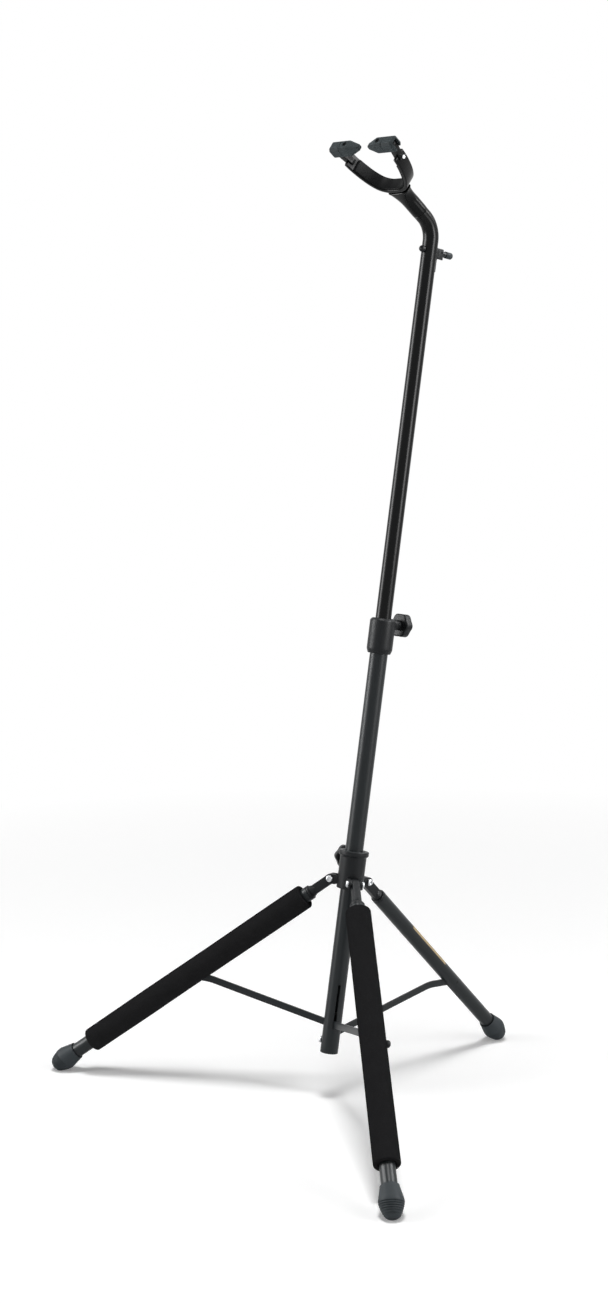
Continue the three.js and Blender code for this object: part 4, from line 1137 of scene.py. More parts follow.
class StandColours(bpy.types.PropertyGroup):
    """Colours of the stand's finishes."""

    # Satin coat: the gloss coat's black paint painted lighter, as painted light from the pale floor on the
    # lower tube, legs and bars.
    satin: colour_property("Satin coat", "Lower tube, legs and bars", 30, 34, 36)
    gloss: colour_property("Gloss coat", "Upper tube", 8, 9, 10)
    plastic: colour_property("Moulded plastic", "Hub, clamp, bow holder and knobs", 26, 28, 30)
    yoke: colour_property("Yoke plastic", "Neck and fork", 8, 9, 10)
    gate: colour_property("Gate plastic", "Hinge blocks of the gates", 60, 66, 68)
    pad: colour_property("Pad rubber", "Pads of the gates", 62, 68, 70)
    bush: colour_property("Bush plastic", "Bushes and glides", 66, 70, 72)
    foot: colour_property("Foot rubber", "Feet and peg cap", 56, 61, 64)
    liner: colour_property("Liner rubber", "Liner of the fork", 10, 11, 12)
    foam: colour_property("Foam", "Sleeves on the front legs", 33, 33, 34)
    steel: colour_property("Steel", "Pins and screws", 190, 192, 194)
    strip: colour_property("Strip", "Plain strip on the rear leg", 182, 162, 126)
    floor: colour_property("Floor", "Plain pale floor", 250, 250, 250)


class Piece:
    """What every piece's operator shares."""

    bl_options = {"REGISTER"}

    def execute(self, context):
        self.build(context.scene.stand_sizes)
        return {"FINISHED"}


class STAND_OT_mast(Piece, bpy.types.Operator):
    """Lower mast tube with its slots, and upper mast tube with its bend"""

    bl_idname = "stand.mast"
    bl_label = "Mast tubes"

    def build(self, sizes):
        self.lower(sizes)
        self.screw(sizes)
        self.upper(sizes)

    def lower(self, sizes):
        """The lower tube, with a slot in its wall for each bar."""
        outer, wall = sizes.mm("lower_radius"), sizes.mm("tube_wall")
        slots = []
        for leg in LEGS:
            low = leg.mast_pivot[2] - sizes.mm("bar_height") * HALF - SLOT_PLAY
            high = FRONT_SLOT_TOP if leg.front else REAR_SLOT_TOP
            half_width = sizes.mm("bar_thick") * HALF + SLOT_PLAY
            slots.append((leg.azimuth % TURN, half_width, low - LOWER_BOTTOM, high - LOWER_BOTTOM))
        tube = slotted_tube(outer, outer - wall, LOWER_TOP - LOWER_BOTTOM, slots, TUBE_EDGE, TUBE_EDGE)
        lower = laid(tube, Z * LOWER_BOTTOM, X, Z)
        put("lower_tube", [moved(lower, from_mast)], "mast_lower", "satin", ["mast_lower_tube"])

    def screw(self, sizes):
        """The screw that holds the spreader block, on the left leg's side."""
        start = np.array([sizes.mm("lower_radius") + GAP, 0, BLOCK_SCREW_HEIGHT])
        head = LEGS[0].place(socket_head(BLOCK_SCREW_RADIUS, BLOCK_SCREW_HEAD, start, X))
        put("block_screw", [skin(head)], "mast_lower", "steel", ["spreader_block_screw"])

    def upper(self, sizes):
        """The upper tube: a wall carried up a straight line and round the bend, its outer edges cut back."""
        outer = sizes.mm("upper_radius")
        inner = outer - sizes.mm("tube_wall")
        straight = np.linspace(UPPER_BOTTOM, BEND_START, UPPER_ROWS)[:-1]
        line = np.vstack(
            [
                np.column_stack([0 * straight, 0 * straight, straight]),
                bend_path(np.linspace(0, BEND_ANGLE, BEND_ROWS)),
                SEAM[None],
            ]
        )
        way = unit(np.gradient(line, axis=0))
        way[0], way[-1] = Z, FORWARD
        angle = turning(FACETS)[None, :, None]
        over = np.cross(way, X)[:, None]
        around = np.cos(angle) * X + np.sin(angle) * over
        ends = np.array([0, -1])
        rim = line[ends] + way[ends] * np.array([[UPPER_EDGE], [-UPPER_EDGE]])
        outside = line[:, None] + around * outer
        outside[0], outside[-1] = rim[0] + around[0] * outer, rim[1] + around[-1] * outer
        inside = line[:, None] + around * inner
        lip = line[ends][:, None] + around[ends] * (outer - UPPER_EDGE)
        rings = np.concatenate([lip[:1], outside, lip[1:], inside[::-1]])
        put("upper_tube", [skin(from_mast(rings), True)], "mast_upper", "gloss", ["mast_upper_tube"])


class STAND_OT_legs(Piece, bpy.types.Operator):
    """Leg tubes, each with its moulded lug and its pivot bolt"""

    bl_idname = "stand.legs"
    bl_label = "Leg tubes"

    def build(self, sizes):
        outer, wall = sizes.mm("leg_radius"), sizes.mm("tube_wall")
        for leg in LEGS:
            end = leg.foot_end - FOOT_LENGTH + FOOT_TUBE_DEPTH
            above, below = (
                (FRONT_SLOT_ABOVE, FRONT_SLOT_BELOW) if leg.front else (REAR_SLOT_ABOVE, REAR_SLOT_BELOW)
            )
            pivot = leg.bar_pivot_at - LEG_TUBE_START
            half_width = sizes.mm("bar_thick") * HALF + SLOT_PLAY
            slots = [(0.0, half_width, pivot - above, pivot + below)]
            tube = slotted_tube(outer, outer - wall, end - LEG_TUBE_START, slots, TUBE_EDGE, TUBE_EDGE)
            tube = moved(laid(tube, leg.at(LEG_TUBE_START), leg.under, leg.down), leg.place)
            body = "leg_" + leg.name
            put("tube_of_leg_" + leg.name, [tube], body, "satin", ["leg_tube_" + leg.name])
            self.lug(leg, sizes)
            self.bolt(leg, sizes)

    def lug(self, leg, sizes):
        """The eye plate, the collar on the tube's end and the plug inside the tube."""
        outer = sizes.mm("leg_radius")
        reach = LEG_TUBE_START - LUG_RADIUS - LUG_COLLAR * HALF
        line = np.linspace(leg.top, leg.at(reach), LUG_ROWS)
        neck = [
            [LUG_NECK_TIP, -LUG_NECK_LENGTH],
            [LUG_NECK_RADIUS, -LUG_NECK_LENGTH],
            [outer * LUG_SHOULDER_SHARE, -LUG_SHOULDER],
            [outer * HALF, LUG_NECK_SINK],
        ]
        start, end = leg.at(LEG_TUBE_START - GAP - LUG_COLLAR), leg.at(LEG_TUBE_START)
        shapes = [
            upright_bar(line, LUG_RADIUS, LUG_HALF_WIDTH, LUG_EDGE),
            rod(outer, LUG_COLLAR, LUG_EDGE, start, leg.down),
            turned(softened(neck, LUG_NECK_ROUND), start, leg.down),
            rod(outer - sizes.mm("tube_wall") - GAP, LEG_PLUG_DEPTH, LUG_EDGE, end, leg.down),
        ]
        surfaces = [skin(leg.place(shape)) for shape in shapes]
        put("lug_" + leg.name, surfaces, "leg_" + leg.name, "plastic", ["leg_lug_" + leg.name])

    def bolt(self, leg, sizes):
        """The domed head outside the leg, or outside the sleeve, and the bolt's end on the other side."""
        out, radius = leg.side * Y, sizes.mm("leg_radius")
        face = (sizes.mm("sleeve_radius") if leg.front else radius) + LEG_BOLT_PROUD
        profile = dome_profile(LEG_BOLT_RADIUS, LEG_BOLT_HEAD)
        head = turned(profile, leg.bar_pivot + out * face, out, SMALL_FACETS)
        start = leg.bar_pivot - out * radius
        shaft = rod(LEG_BOLT_END_RADIUS, face + radius, PIN_EDGE, start, out, SMALL_FACETS)
        surfaces = [skin(leg.place(shape)) for shape in (head, shaft)]
        put("bolt_" + leg.name, surfaces, "leg_" + leg.name, "plastic", ["leg_bolt_" + leg.name])


class STAND_OT_sleeves(Piece, bpy.types.Operator):
    """Foam sleeves on the front legs, each slit below where its bar runs"""

    bl_idname = "stand.sleeves"
    bl_label = "Foam sleeves"

    def build(self, sizes):
        outer, inner = sizes.mm("sleeve_radius"), sizes.mm("leg_radius") + GAP
        edge = sizes.mm("sleeve_edge")
        for leg in [leg for leg in LEGS if leg.front]:
            end = leg.foot_end - FOOT_LENGTH - SLEEVE_TO_FOOT
            pivot = leg.bar_pivot_at - SLEEVE_START
            half_width = sizes.mm("bar_thick") * HALF + SLEEVE_SLOT_PLAY
            slots = [(0.0, half_width, pivot - SLEEVE_SLOT_ABOVE, pivot + SLEEVE_SLOT_BELOW)]
            soft = (edge, edge * HALF, SLEEVE_BULGE, SLEEVE_FLARE)
            foam = slotted_tube(outer, inner, end - SLEEVE_START, slots, *soft)
            foam = moved(laid(foam, leg.at(SLEEVE_START), leg.under, leg.down), leg.place)
            nodes = ["foam_sleeve_" + leg.name]
            piece = put("sleeve_" + leg.name, [foam], "leg_" + leg.name, "foam", nodes)


class STAND_OT_bars(Piece, bpy.types.Operator):
    """Spreader bars: flat bars with one bend, round at both ends"""

    bl_idname = "stand.bars"
    bl_label = "Spreader bars"

    def build(self, sizes):
        half_width, half_thick = sizes.mm("bar_height") * HALF, sizes.mm("bar_thick") * HALF
        for leg in LEGS:
            corners = [leg.mast_pivot, leg.bend, leg.bar_pivot]
            line = resampled(softened(corners, BAR_BEND_CUT), BAR_ROWS)
            shape = upright_bar(line, half_width, half_thick, BAR_EDGE)
            body, nodes = "spreader_" + leg.name, ["spreader_bar_" + leg.name]
            put("bar_" + leg.name, [skin(leg.place(shape))], body, "satin", nodes)


class STAND_OT_feet(Piece, bpy.types.Operator):
    """Rubber feet, flat where they stand, with rings that lie a little nearer to level than a section does"""

    bl_idname = "stand.feet"
    bl_label = "Rubber feet"

    def build(self, sizes):
        outline = curve_through(np.array(FOOT_SHARES) * [sizes.mm("foot_widest"), FOOT_LENGTH], FOOT_ROWS)
        bore, mouth = sizes.mm("leg_radius") + GAP, FOOT_LENGTH - (FOOT_LIP - FOOT_MOUTH)
        upper = softened(
            [
                outline[-1],
                [FOOT_LIP, mouth - FOOT_LIP_HEIGHT],
                [FOOT_LIP, FOOT_LENGTH],
                [FOOT_MOUTH - FOOT_MOUTH_LIP, FOOT_LENGTH],
                [bore, FOOT_LENGTH - FOOT_MOUTH_DEPTH],
                [bore, FOOT_LENGTH - FOOT_TUBE_DEPTH],
                [bore * HALF, FOOT_LENGTH - FOOT_TUBE_DEPTH],
            ],
            FOOT_SOFT,
        )
        profile = np.vstack([outline, upper[1:]])
        level = outline[:, 1, None] + outline[:, 0, None] * math.tan(FOOT_RING_TILT) * np.cos(turning(FACETS))
        share = np.clip((level - FOOT_RING_START) / (FOOT_RING_END - FOOT_RING_START), 0, 1)
        groove = (HALF - HALF * np.cos(share * sizes.foot_rings * TURN)) ** FOOT_GROOVE_POWER
        swell = np.ones((len(profile), FACETS))
        swell[: len(outline)] -= sizes.mm("ring_depth") * groove / outline[:, 0, None]
        for leg in LEGS:
            shape = leg.place(turned(profile, leg.at(leg.foot_end), -leg.down, side=-leg.under, swell=swell))
            shape[..., 2] = np.maximum(shape[..., 2], 0)
            body, nodes = "leg_" + leg.name, ["foot_" + leg.name]
            put("rubber_foot_" + leg.name, [skin(shape)], body, "foot", nodes)


class STAND_OT_hub(Piece, bpy.types.Operator):
    """Leg hub: sliding collar with two ears for each leg, its bush and its screws"""

    bl_idname = "stand.hub"
    bl_label = "Leg hub"

    def build(self, sizes):
        profile = [
            [HUB_BORE, HUB_BOTTOM],
            [HUB_RADIUS, HUB_BOTTOM],
            [HUB_RADIUS, HUB_TOP - HUB_FLANGE - HUB_FLANGE_SLOPE],
            [HUB_FLANGE_RADIUS, HUB_TOP - HUB_FLANGE],
            [HUB_FLANGE_RADIUS, HUB_TOP],
            [HUB_BORE, HUB_TOP],
        ]
        surfaces = [round_mast(profile, HUB_EDGE)]
        middle = LUG_HALF_WIDTH + GAP + EAR_THICK * HALF
        for leg in LEGS:
            line = np.linspace([EAR_ROOT + EAR_RADIUS, 0, leg.top[2]], leg.top, PLATE_ROWS)
            ear = upright_bar(line, EAR_RADIUS, EAR_THICK * HALF, LUG_EDGE)
            surfaces += [skin(leg.place(ear + Y * side * middle)) for side in (-1, 1)]
        surfaces.append(boss(BOSS_RADIUS, HUB_BORE, BOSS_LENGTH, HUB_KNOB_AZIMUTH, HUB_KNOB_HEIGHT))
        put("hub_body", surfaces, "hub", "plastic", ["hub_collar"])
        liner = bush(sizes.mm("lower_radius") + GAP, HUB_BORE - GAP, HUB_BOTTOM, HUB_TOP, BUSH_EDGE)
        put("hub_liner", [liner], "hub", "bush", ["hub_bush"])
        for leg in LEGS:
            for letter, side in (("a", 1), ("b", -1)):
                start = leg.top + Y * side * (middle + EAR_THICK * HALF + GAP)
                head = leg.place(socket_head(HUB_SCREW_HEAD_RADIUS, HUB_SCREW_HEAD, start, Y * side))
                name = f"{leg.name}_{letter}"
                put("ear_screw_" + name, [skin(head)], "hub", "steel", ["hub_screw_" + name])


def knob_shapes(radius, boss_end, stud_tip, azimuth, height):
    """A lobed knob, its neck and its stud. The radius of the grip falls by a lobe depth where the cosine of
    the lobe count times the angle is high, and less so towards the middle of its face."""
    way = np.array([math.cos(azimuth), math.sin(azimuth), 0])
    foot, tip = (Z * height + way * out for out in (boss_end + GAP, stud_tip))
    cap = radius * KNOB_CAP_SHARE
    corners = [
        [KNOB_NECK_RADIUS * HALF, KNOB_BACK],
        [radius - KNOB_EDGE, 0],
        [radius, KNOB_EDGE * HALF],
        [radius, KNOB_THICK - KNOB_EDGE],
        [radius - KNOB_EDGE * KNOB_FACE_EDGE_SHARE, KNOB_THICK],
        [cap + KNOB_CAP_RIM, KNOB_THICK],
        [cap, KNOB_THICK - KNOB_CAP_DEPTH],
        [cap * HALF, KNOB_THICK - KNOB_CAP_DEPTH],
    ]
    profile = softened(corners, KNOB_EDGE)
    weight = np.clip((profile[:, 0] - cap - KNOB_CAP_RIM) / (radius - cap - KNOB_CAP_RIM), 0, 1)[:, None]
    lobes = HALF + HALF * np.cos(KNOB_LOBES * turning(FACETS * 2))[None]
    swell = 1 - weight * lobes * KNOB_LOBE_DEPTH / radius
    shapes = [
        turned(profile, foot + way * KNOB_NECK, way, FACETS * 2, Z, swell),
        rod(KNOB_NECK_RADIUS, KNOB_NECK + KNOB_NECK_SINK, KNOB_NECK_EDGE, foot, way),
        rod(STUD_RADIUS, boss_end + KNOB_NECK - stud_tip, PIN_EDGE, tip, way),
    ]
    return [skin(from_mast(shape)) for shape in shapes]


class STAND_OT_knobs(Piece, bpy.types.Operator):
    """Knobs of the hub and of the height clamp"""

    bl_idname = "stand.knobs"
    bl_label = "Knobs"

    def build(self, sizes):
        radius = sizes.mm("knob_radius")
        tip = sizes.mm("lower_radius") + STUD_CLEAR
        shapes = knob_shapes(radius, BOSS_LENGTH, tip, HUB_KNOB_AZIMUTH, HUB_KNOB_HEIGHT)
        put("knob_of_hub", shapes, "hub_knob", "plastic", ["hub_knob"])
        tip = sizes.mm("upper_radius") + STUD_CLEAR
        shapes = knob_shapes(radius, CLAMP_BOSS_LENGTH, tip, QUARTER, CLAMP_KNOB_HEIGHT)
        put("knob_of_clamp", shapes, "clamp_knob", "plastic", ["clamp_knob"])


class STAND_OT_clamp(Piece, bpy.types.Operator):
    """Height clamp: housing with its boss, and its bush"""

    bl_idname = "stand.clamp"
    bl_label = "Height clamp"

    def build(self, sizes):
        inner = sizes.mm("lower_radius") + GAP
        profile = [
            [inner, CLAMP_BOTTOM],
            [sizes.mm("lower_radius") + CLAMP_SKIRT, CLAMP_BOTTOM],
            [CLAMP_RADIUS, CLAMP_BOTTOM + CLAMP_SHELF],
            [CLAMP_RADIUS, CLAMP_TOP - CLAMP_MOUTH_ROUND],
            [CLAMP_RADIUS - CLAMP_MOUTH_ROUND, CLAMP_TOP],
            [CLAMP_BORE, CLAMP_TOP],
            [CLAMP_BORE, LOWER_TOP + GAP],
            [inner, LOWER_TOP + GAP],
        ]
        housing = round_mast(profile, HUB_EDGE)
        carrier = boss(CLAMP_BOSS_RADIUS, CLAMP_BORE, CLAMP_BOSS_LENGTH, QUARTER, CLAMP_KNOB_HEIGHT)
        put("clamp_body", [housing, carrier], "mast_lower", "plastic", ["clamp_housing"])
        inner = sizes.mm("upper_radius") + GAP
        liner = bush(inner, CLAMP_BORE - GAP, CLAMP_BUSH_BOTTOM, CLAMP_TOP, FINE_EDGE)
        put("clamp_liner", [liner], "mast_lower", "bush", ["clamp_bush"])


class STAND_OT_holder(Piece, bpy.types.Operator):
    """Bow holder: base, pin, the through bolt's domed nut, peg and rubber cap"""

    bl_idname = "stand.holder"
    bl_label = "Bow holder"

    def build(self, sizes):
        tube = sizes.mm("upper_radius")
        height = Z * HOLDER_HEIGHT
        pivot = height + Y * PEG_PIVOT_OUT
        self.base(tube)
        self.fixings(tube, height, pivot)
        self.peg(tube, height, pivot)

    def base(self, tube):
        """The plate on the tube with a cheek on either side of the peg."""
        face = tube + GAP + PLATE_THICK
        bottom, top = HOLDER_HEIGHT - CHEEK_BELOW, HOLDER_HEIGHT + CHEEK_ABOVE
        boxes = [
            (
                [-PLATE_HALF_WIDTH, tube - PLATE_SINK, HOLDER_HEIGHT - PLATE_BELOW],
                [PLATE_HALF_WIDTH, face, HOLDER_HEIGHT + PLATE_ABOVE],
            ),
            ([-CHEEK_HALF_WIDTH, tube - CHEEK_SINK, bottom], [CHEEK_HALF_WIDTH, face, top]),
        ]
        for side in (-1, 1):
            near, far = sorted([side * CHEEK_HALF_WIDTH, side * (CHEEK_HALF_WIDTH - CHEEK_THICK)])
            boxes.append(([near, tube, bottom], [far, PEG_PIVOT_OUT + CHEEK_PAST, top]))
        surfaces = [skin(from_mast(block(low, high, HOLDER_EDGE))) for low, high in boxes]
        put("holder_base", surfaces, "mast_upper", "plastic", ["bow_holder_base"])

    def fixings(self, tube, height, pivot):
        """The peg's hinge pin, and the through bolt's domed nut on the front of the tube."""
        start, length = pivot - X * CHEEK_HALF_WIDTH, 2 * CHEEK_HALF_WIDTH
        pin = from_mast(rod(HOLDER_PIN_RADIUS, length, FINE_EDGE, start, X, SMALL_FACETS))
        put("holder_pin", [skin(pin)], "mast_upper", "steel", ["bow_holder_pin"])
        nut = from_mast(turned(dome_profile(NUT_RADIUS, NUT_HEIGHT), height - Y * (tube + GAP), -Y))
        put("holder_nut", [skin(nut)], "mast_upper", "plastic", ["bow_holder_bolt"])

    def peg(self, tube, height, pivot):
        """The peg with its hub, and the rubber cap on its end."""
        end = tube + PEG_REACH
        hub_half = CHEEK_HALF_WIDTH - CHEEK_THICK - GAP
        shapes = [
            rod(PEG_RADIUS, end - PEG_PIVOT_OUT, ROD_EDGE, pivot, Y),
            rod(PEG_HUB_RADIUS, 2 * hub_half, BUSH_EDGE, pivot - X * hub_half, X),
        ]
        surfaces = [skin(from_mast(shape)) for shape in shapes]
        put("peg_shaft", surfaces, "bow_peg", "satin", ["bow_holder_peg"])
        corners = [
            [PEG_RADIUS + GAP, -CAP_LENGTH],
            [CAP_RADIUS, -CAP_LENGTH],
            [CAP_RADIUS * CAP_SHOULDER_SHARE, 0],
            [CAP_RADIUS * CAP_TOP_SHARE, CAP_WALL + GAP],
            [CAP_MIDDLE, 2 * CAP_WALL + GAP],
            [CAP_MIDDLE, GAP],
            [PEG_RADIUS + GAP, GAP],
        ]
        cap = from_mast(turned(softened(corners, CAP_EDGE, closed=True), height + Y * end, Y))
        put("peg_cap", [skin(cap, True)], "bow_peg", "foot", ["bow_holder_cap"])


def neck_ring(place, wide, low, drop, square, drawn):
    """Sections of the neck: a superellipse whose half sizes go from the round end's radius to the flare's,
    and whose exponent of the cosine and sine falls below one as the section grows squarer."""
    angle = turning(FACETS)[None]
    half_x = NECK_RADIUS + wide * (NECK_FLARE_HALF_WIDTH - NECK_RADIUS) - drawn
    half_n = NECK_RADIUS + low * (NECK_FLARE_HALF_HEIGHT - NECK_RADIUS) - drawn
    power = (2 / (2 + square))[:, None]

    def bulged(wave):
        return np.sign(wave) * np.abs(wave) ** power

    x = half_x[:, None] * bulged(np.cos(angle))
    n = half_n[:, None] * bulged(np.sin(angle)) - (drop * NECK_FLARE_DROP)[:, None]
    return np.stack([x, np.broadcast_to(place[:, None], x.shape), n], axis=-1)


class STAND_OT_neck(Piece, bpy.types.Operator):
    """Neck that turns the bent tube's round end into the fork's wide foot, and its pin"""

    bl_idname = "stand.neck"
    bl_label = "Yoke neck"

    def build(self, sizes):
        rows = curve_through(NECK_RING_SHARES, NECK_ROWS)
        rows = rows[rows[:, 0] < 1 - NECK_MOUTH_EDGE / NECK_LENGTH]
        angle = np.linspace(0, QUARTER, CORNER_STEPS)
        columns = rows.shape[1]
        start, end = np.zeros((CORNER_STEPS - 1, columns)), np.ones((CORNER_STEPS, columns))
        start[:, 0] = NECK_EDGE * (1 - np.cos(angle[:-1])) / NECK_LENGTH
        end[:, 0] = 1 - NECK_MOUTH_EDGE * (1 - np.sin(angle)) / NECK_LENGTH
        first, last = NECK_EDGE * HALF * (1 - np.sin(angle[:-1])), NECK_MOUTH_EDGE * (1 - np.cos(angle))
        drawn = np.concatenate([first, 0 * rows[:, 0], last])
        shares = np.vstack([start, rows, end])
        rings = neck_ring(shares[:, 0] * NECK_LENGTH + GAP, *shares[:, 1:].T, drawn)
        half_width, half_height = STEM_HALF_WIDTH + GAP, STEM_HALF_HEIGHT + GAP
        low = [-half_width, STEM_BACK - GAP, -half_height]
        room = from_yoke(block(low, [half_width, NECK_LENGTH + THROUGH, half_height], PIN_EDGE))
        put("neck_body", [skin(from_yoke(rings))], "yoke_neck", "yoke", ["yoke_neck"], [skin(room)])
        start = X * (NECK_RADIUS - NECK_PIN_DEPTH) + Y * NECK_PIN_AT
        pin = rod(NECK_PIN_RADIUS, NECK_PIN_DEPTH + NECK_PIN_PROUD, PIN_EDGE, start, X, SMALL_FACETS)
        put("neck_pin", [skin(from_yoke(pin))], "yoke_neck", "steel", ["yoke_neck_pin"])


def fork_line():
    """The fork's centre line from one arm's end to the other's."""
    shares = np.array(FORK_PATH_SHARES)
    mirrored = shares[1:][::-1] * [-1, 1]
    points = np.vstack([mirrored, shares]) * [FORK_HALF_SPREAD, FORK_DEPTH] + [0, FORK_OFFSET]
    return curve_through(points, FORK_ROWS)


class STAND_OT_fork(Piece, bpy.types.Operator):
    """Fork of the yoke with its stem and tongues, its liner and the link pins"""

    bl_idname = "stand.fork"
    bl_label = "Yoke fork"

    def build(self, sizes):
        line = fork_line()
        half_wall, arm = FORK_WALL * HALF, FORK_OFFSET + FORK_DEPTH
        low = [-STEM_HALF_WIDTH, STEM_BACK, -STEM_HALF_HEIGHT]
        stem = block(low, [STEM_HALF_WIDTH, FORK_OFFSET, STEM_HALF_HEIGHT], ROD_EDGE)
        shapes = [band(line, -half_wall, half_wall, sizes.mm("fork_half_height"), FORK_EDGE), stem]
        for side in (-1, 1):
            end = np.array([side * FORK_HALF_SPREAD, arm])
            pivot = np.array([side * GATE_ACROSS, GATE_FORWARD])
            path = np.linspace(end + (end - pivot) * TONGUE_ROOT_SHARE, pivot, PLATE_ROWS)
            shapes.append(flat_bar(path, TONGUE_HALF_WIDTH, TONGUE_HALF_HEIGHT, ROD_EDGE))
        surfaces = [skin(from_yoke(shape)) for shape in shapes]
        put("fork_body", surfaces, "yoke", "yoke", ["yoke_fork"])
        inner = resampled(line, FORK_ROWS, (1 - LINER_SHARE) * HALF, (1 + LINER_SHARE) * HALF)
        near = -half_wall - GAP
        liner = band(inner, near - LINER_WALL, near, LINER_HALF_HEIGHT, LINER_EDGE)
        put("fork_liner", [skin(from_yoke(liner))], "yoke", "liner", ["yoke_liner"])
        for name, side in SIDES.items():
            start = np.array([side * (FORK_HALF_SPREAD - half_wall), arm - LINK_PIN_BACK, 0])
            length = FORK_WALL + half_wall + LINK_PIN_PROUD
            pin = rod(LINK_PIN_RADIUS, length, PIN_EDGE, start, X * side, SMALL_FACETS)
            put("arm_pin_" + name, [skin(from_yoke(pin))], "yoke", "steel", ["link_pin_" + name])


def gate_rings(stations, side):
    """Sections of a gate across X: rectangles with cut and softened corners, whose half sizes and cut follow
    the softened line through the stations, drawn in at both ends by a quarter circle."""
    line = resampled(softened(stations, GATE_BEND_CUT), GATE_ROWS)
    reach = np.minimum(np.abs(line[:, 0] - line[0, 0]), np.abs(line[:, 0] - line[-1, 0]))
    drawn = GATE_END_EDGE * fall(reach / GATE_END_EDGE)
    x, wide, high, cut = line.T[..., None]
    f_signs = np.array([1, 1, -1, -1, -1, -1, 1, 1])
    n_signs = np.array([1, 1, 1, 1, -1, -1, -1, -1])
    f_cuts = np.array([0, 1, 1, 0, 0, 1, 1, 0])
    f = f_signs * (wide - drawn[:, None] - f_cuts * cut)
    n = n_signs * (high - drawn[:, None] - (1 - f_cuts) * cut)
    corners = np.stack([f, n], axis=-1)

    def bend_end(shift):
        """Where each corner's curve meets the side towards a neighbour."""
        way = np.roll(corners, shift, axis=1) - corners
        share = np.minimum(GATE_SOFT / np.linalg.norm(way, axis=-1, keepdims=True), SOFT_ROOM)
        return (corners + way * share)[:, :, None]

    t = np.linspace(0, 1, CORNER_STEPS)[:, None]
    curve = (1 - t) ** 2 * bend_end(1) + 2 * t * (1 - t) * corners[:, :, None] + t**2 * bend_end(-1)
    curve = curve.reshape(len(x), -1, 2)
    across = np.broadcast_to(side * x, curve.shape[:2])
    return np.stack([across, GATE_FORWARD + curve[..., 0], curve[..., 1]], axis=-1)


class STAND_OT_gates(Piece, bpy.types.Operator):
    """Gates in front of the yoke: hinge block, pad, pivot pin and recessed pad screw"""

    bl_idname = "stand.gates"
    bl_label = "Gates"

    def build(self, sizes):
        full = [GATE_HALF_WIDTH, GATE_HALF_HEIGHT, GATE_CHAMFER]
        end = [GATE_HALF_WIDTH - GATE_CHAMFER, GATE_HALF_HEIGHT - GATE_CHAMFER, GATE_TIP_CHAMFER]
        tip = [GATE_TIP_HALF_WIDTH, GATE_TIP_HALF_HEIGHT, GATE_TIP_CHAMFER]
        block_line = [[GATE_SEAM, *full], [GATE_OUTER - GATE_CHAMFER, *full], [GATE_OUTER, *end]]
        pad_line = [[GATE_SEAM - GAP, *full], [GATE_TAPER, *full], [GATE_TIP, *tip]]
        for name, side in SIDES.items():
            body = "gate_" + name
            near, far = sorted([side * (GATE_SEAM + GATE_WALL), side * (GATE_OUTER + THROUGH)])
            half = TONGUE_HALF_HEIGHT + GAP
            low = [near, GATE_FORWARD - GATE_HALF_WIDTH - THROUGH, -half]
            slot = block(low, [far, GATE_FORWARD + GATE_SLOT_FRONT, half], BUSH_EDGE)
            sink = PAD_SCREW_SINK + PAD_SCREW_HEAD
            hole = np.array([side * (GATE_SEAM - PAD_SCREW_BACK), GATE_FORWARD + GATE_HALF_WIDTH - sink, 0])
            well = rod(PAD_SCREW_RADIUS + GAP, sink + THROUGH, FINE_EDGE, hole, Y, SMALL_FACETS)
            screw = socket_head(PAD_SCREW_RADIUS, PAD_SCREW_HEAD, hole + Y * PAD_SCREW_LIFT, Y)
            half = GATE_HALF_HEIGHT - GAP
            start = np.array([side * GATE_ACROSS, GATE_FORWARD, -half])
            pin = rod(GATE_PIN_RADIUS, 2 * half, FINE_EDGE, start, Z, SMALL_FACETS)
            pieces = [
                ("hinge_block_", gate_rings(block_line, side), "gate", "gate_block_", [slot]),
                ("soft_pad_", gate_rings(pad_line, side), "pad", "gate_pad_", [well]),
                ("pad_screw_", screw, "plastic", "gate_screw_", []),
                ("hinge_pin_", pin, "steel", "gate_pin_", []),
            ]
            for label, shape, look, node, cuts in pieces:
                tools = [skin(from_yoke(cut)) for cut in cuts]
                put(label + name, [skin(from_yoke(shape))], body, look, [node + name], tools)


class STAND_OT_strip(Piece, bpy.types.Operator):
    """Plain pale strip on the rear leg's upper edge"""

    bl_idname = "stand.strip"
    bl_label = "Leg strip"

    def build(self, sizes):
        leg = LEGS[-1]
        radius = sizes.mm("leg_radius") + STRIP_PROUD
        reach = STRIP_HALF_WIDTH / radius
        angle = STRIP_TURN + np.linspace(-reach, reach, STRIP_COLUMNS)[:, None]
        station, drawn = eased(STRIP_END - STRIP_START, STRIP_EDGE)
        side, over, way = basis(leg.down, -leg.under)
        around = np.cos(angle) * side + np.sin(angle) * over
        ring = np.vstack([around * radius, around[::-1] * (radius - STRIP_THICK)])
        shrunk = ring * (1 - drawn / radius * HALF)[:, None, None]
        rings = leg.at(STRIP_START) + station[:, None, None] * way + shrunk
        put("plain_strip", [skin(leg.place(rings))], "leg_rear", "strip", [])


class STAND_OT_inside(Piece, bpy.types.Operator):
    """Finishes for the CAD nodes that stay: what lies inside the tubes"""

    bl_idname = "stand.inside"
    bl_label = "Inner pieces"

    def build(self, sizes):
        kept = {"spreader_block": "plastic", "mast_glide": "bush"}
        kept |= {"spreader_pin_" + leg.name: "steel" for leg in LEGS}
        for node, look in kept.items():
            for slot in frame["nodes"][node].material_slots:
                slot.material = finish(look)


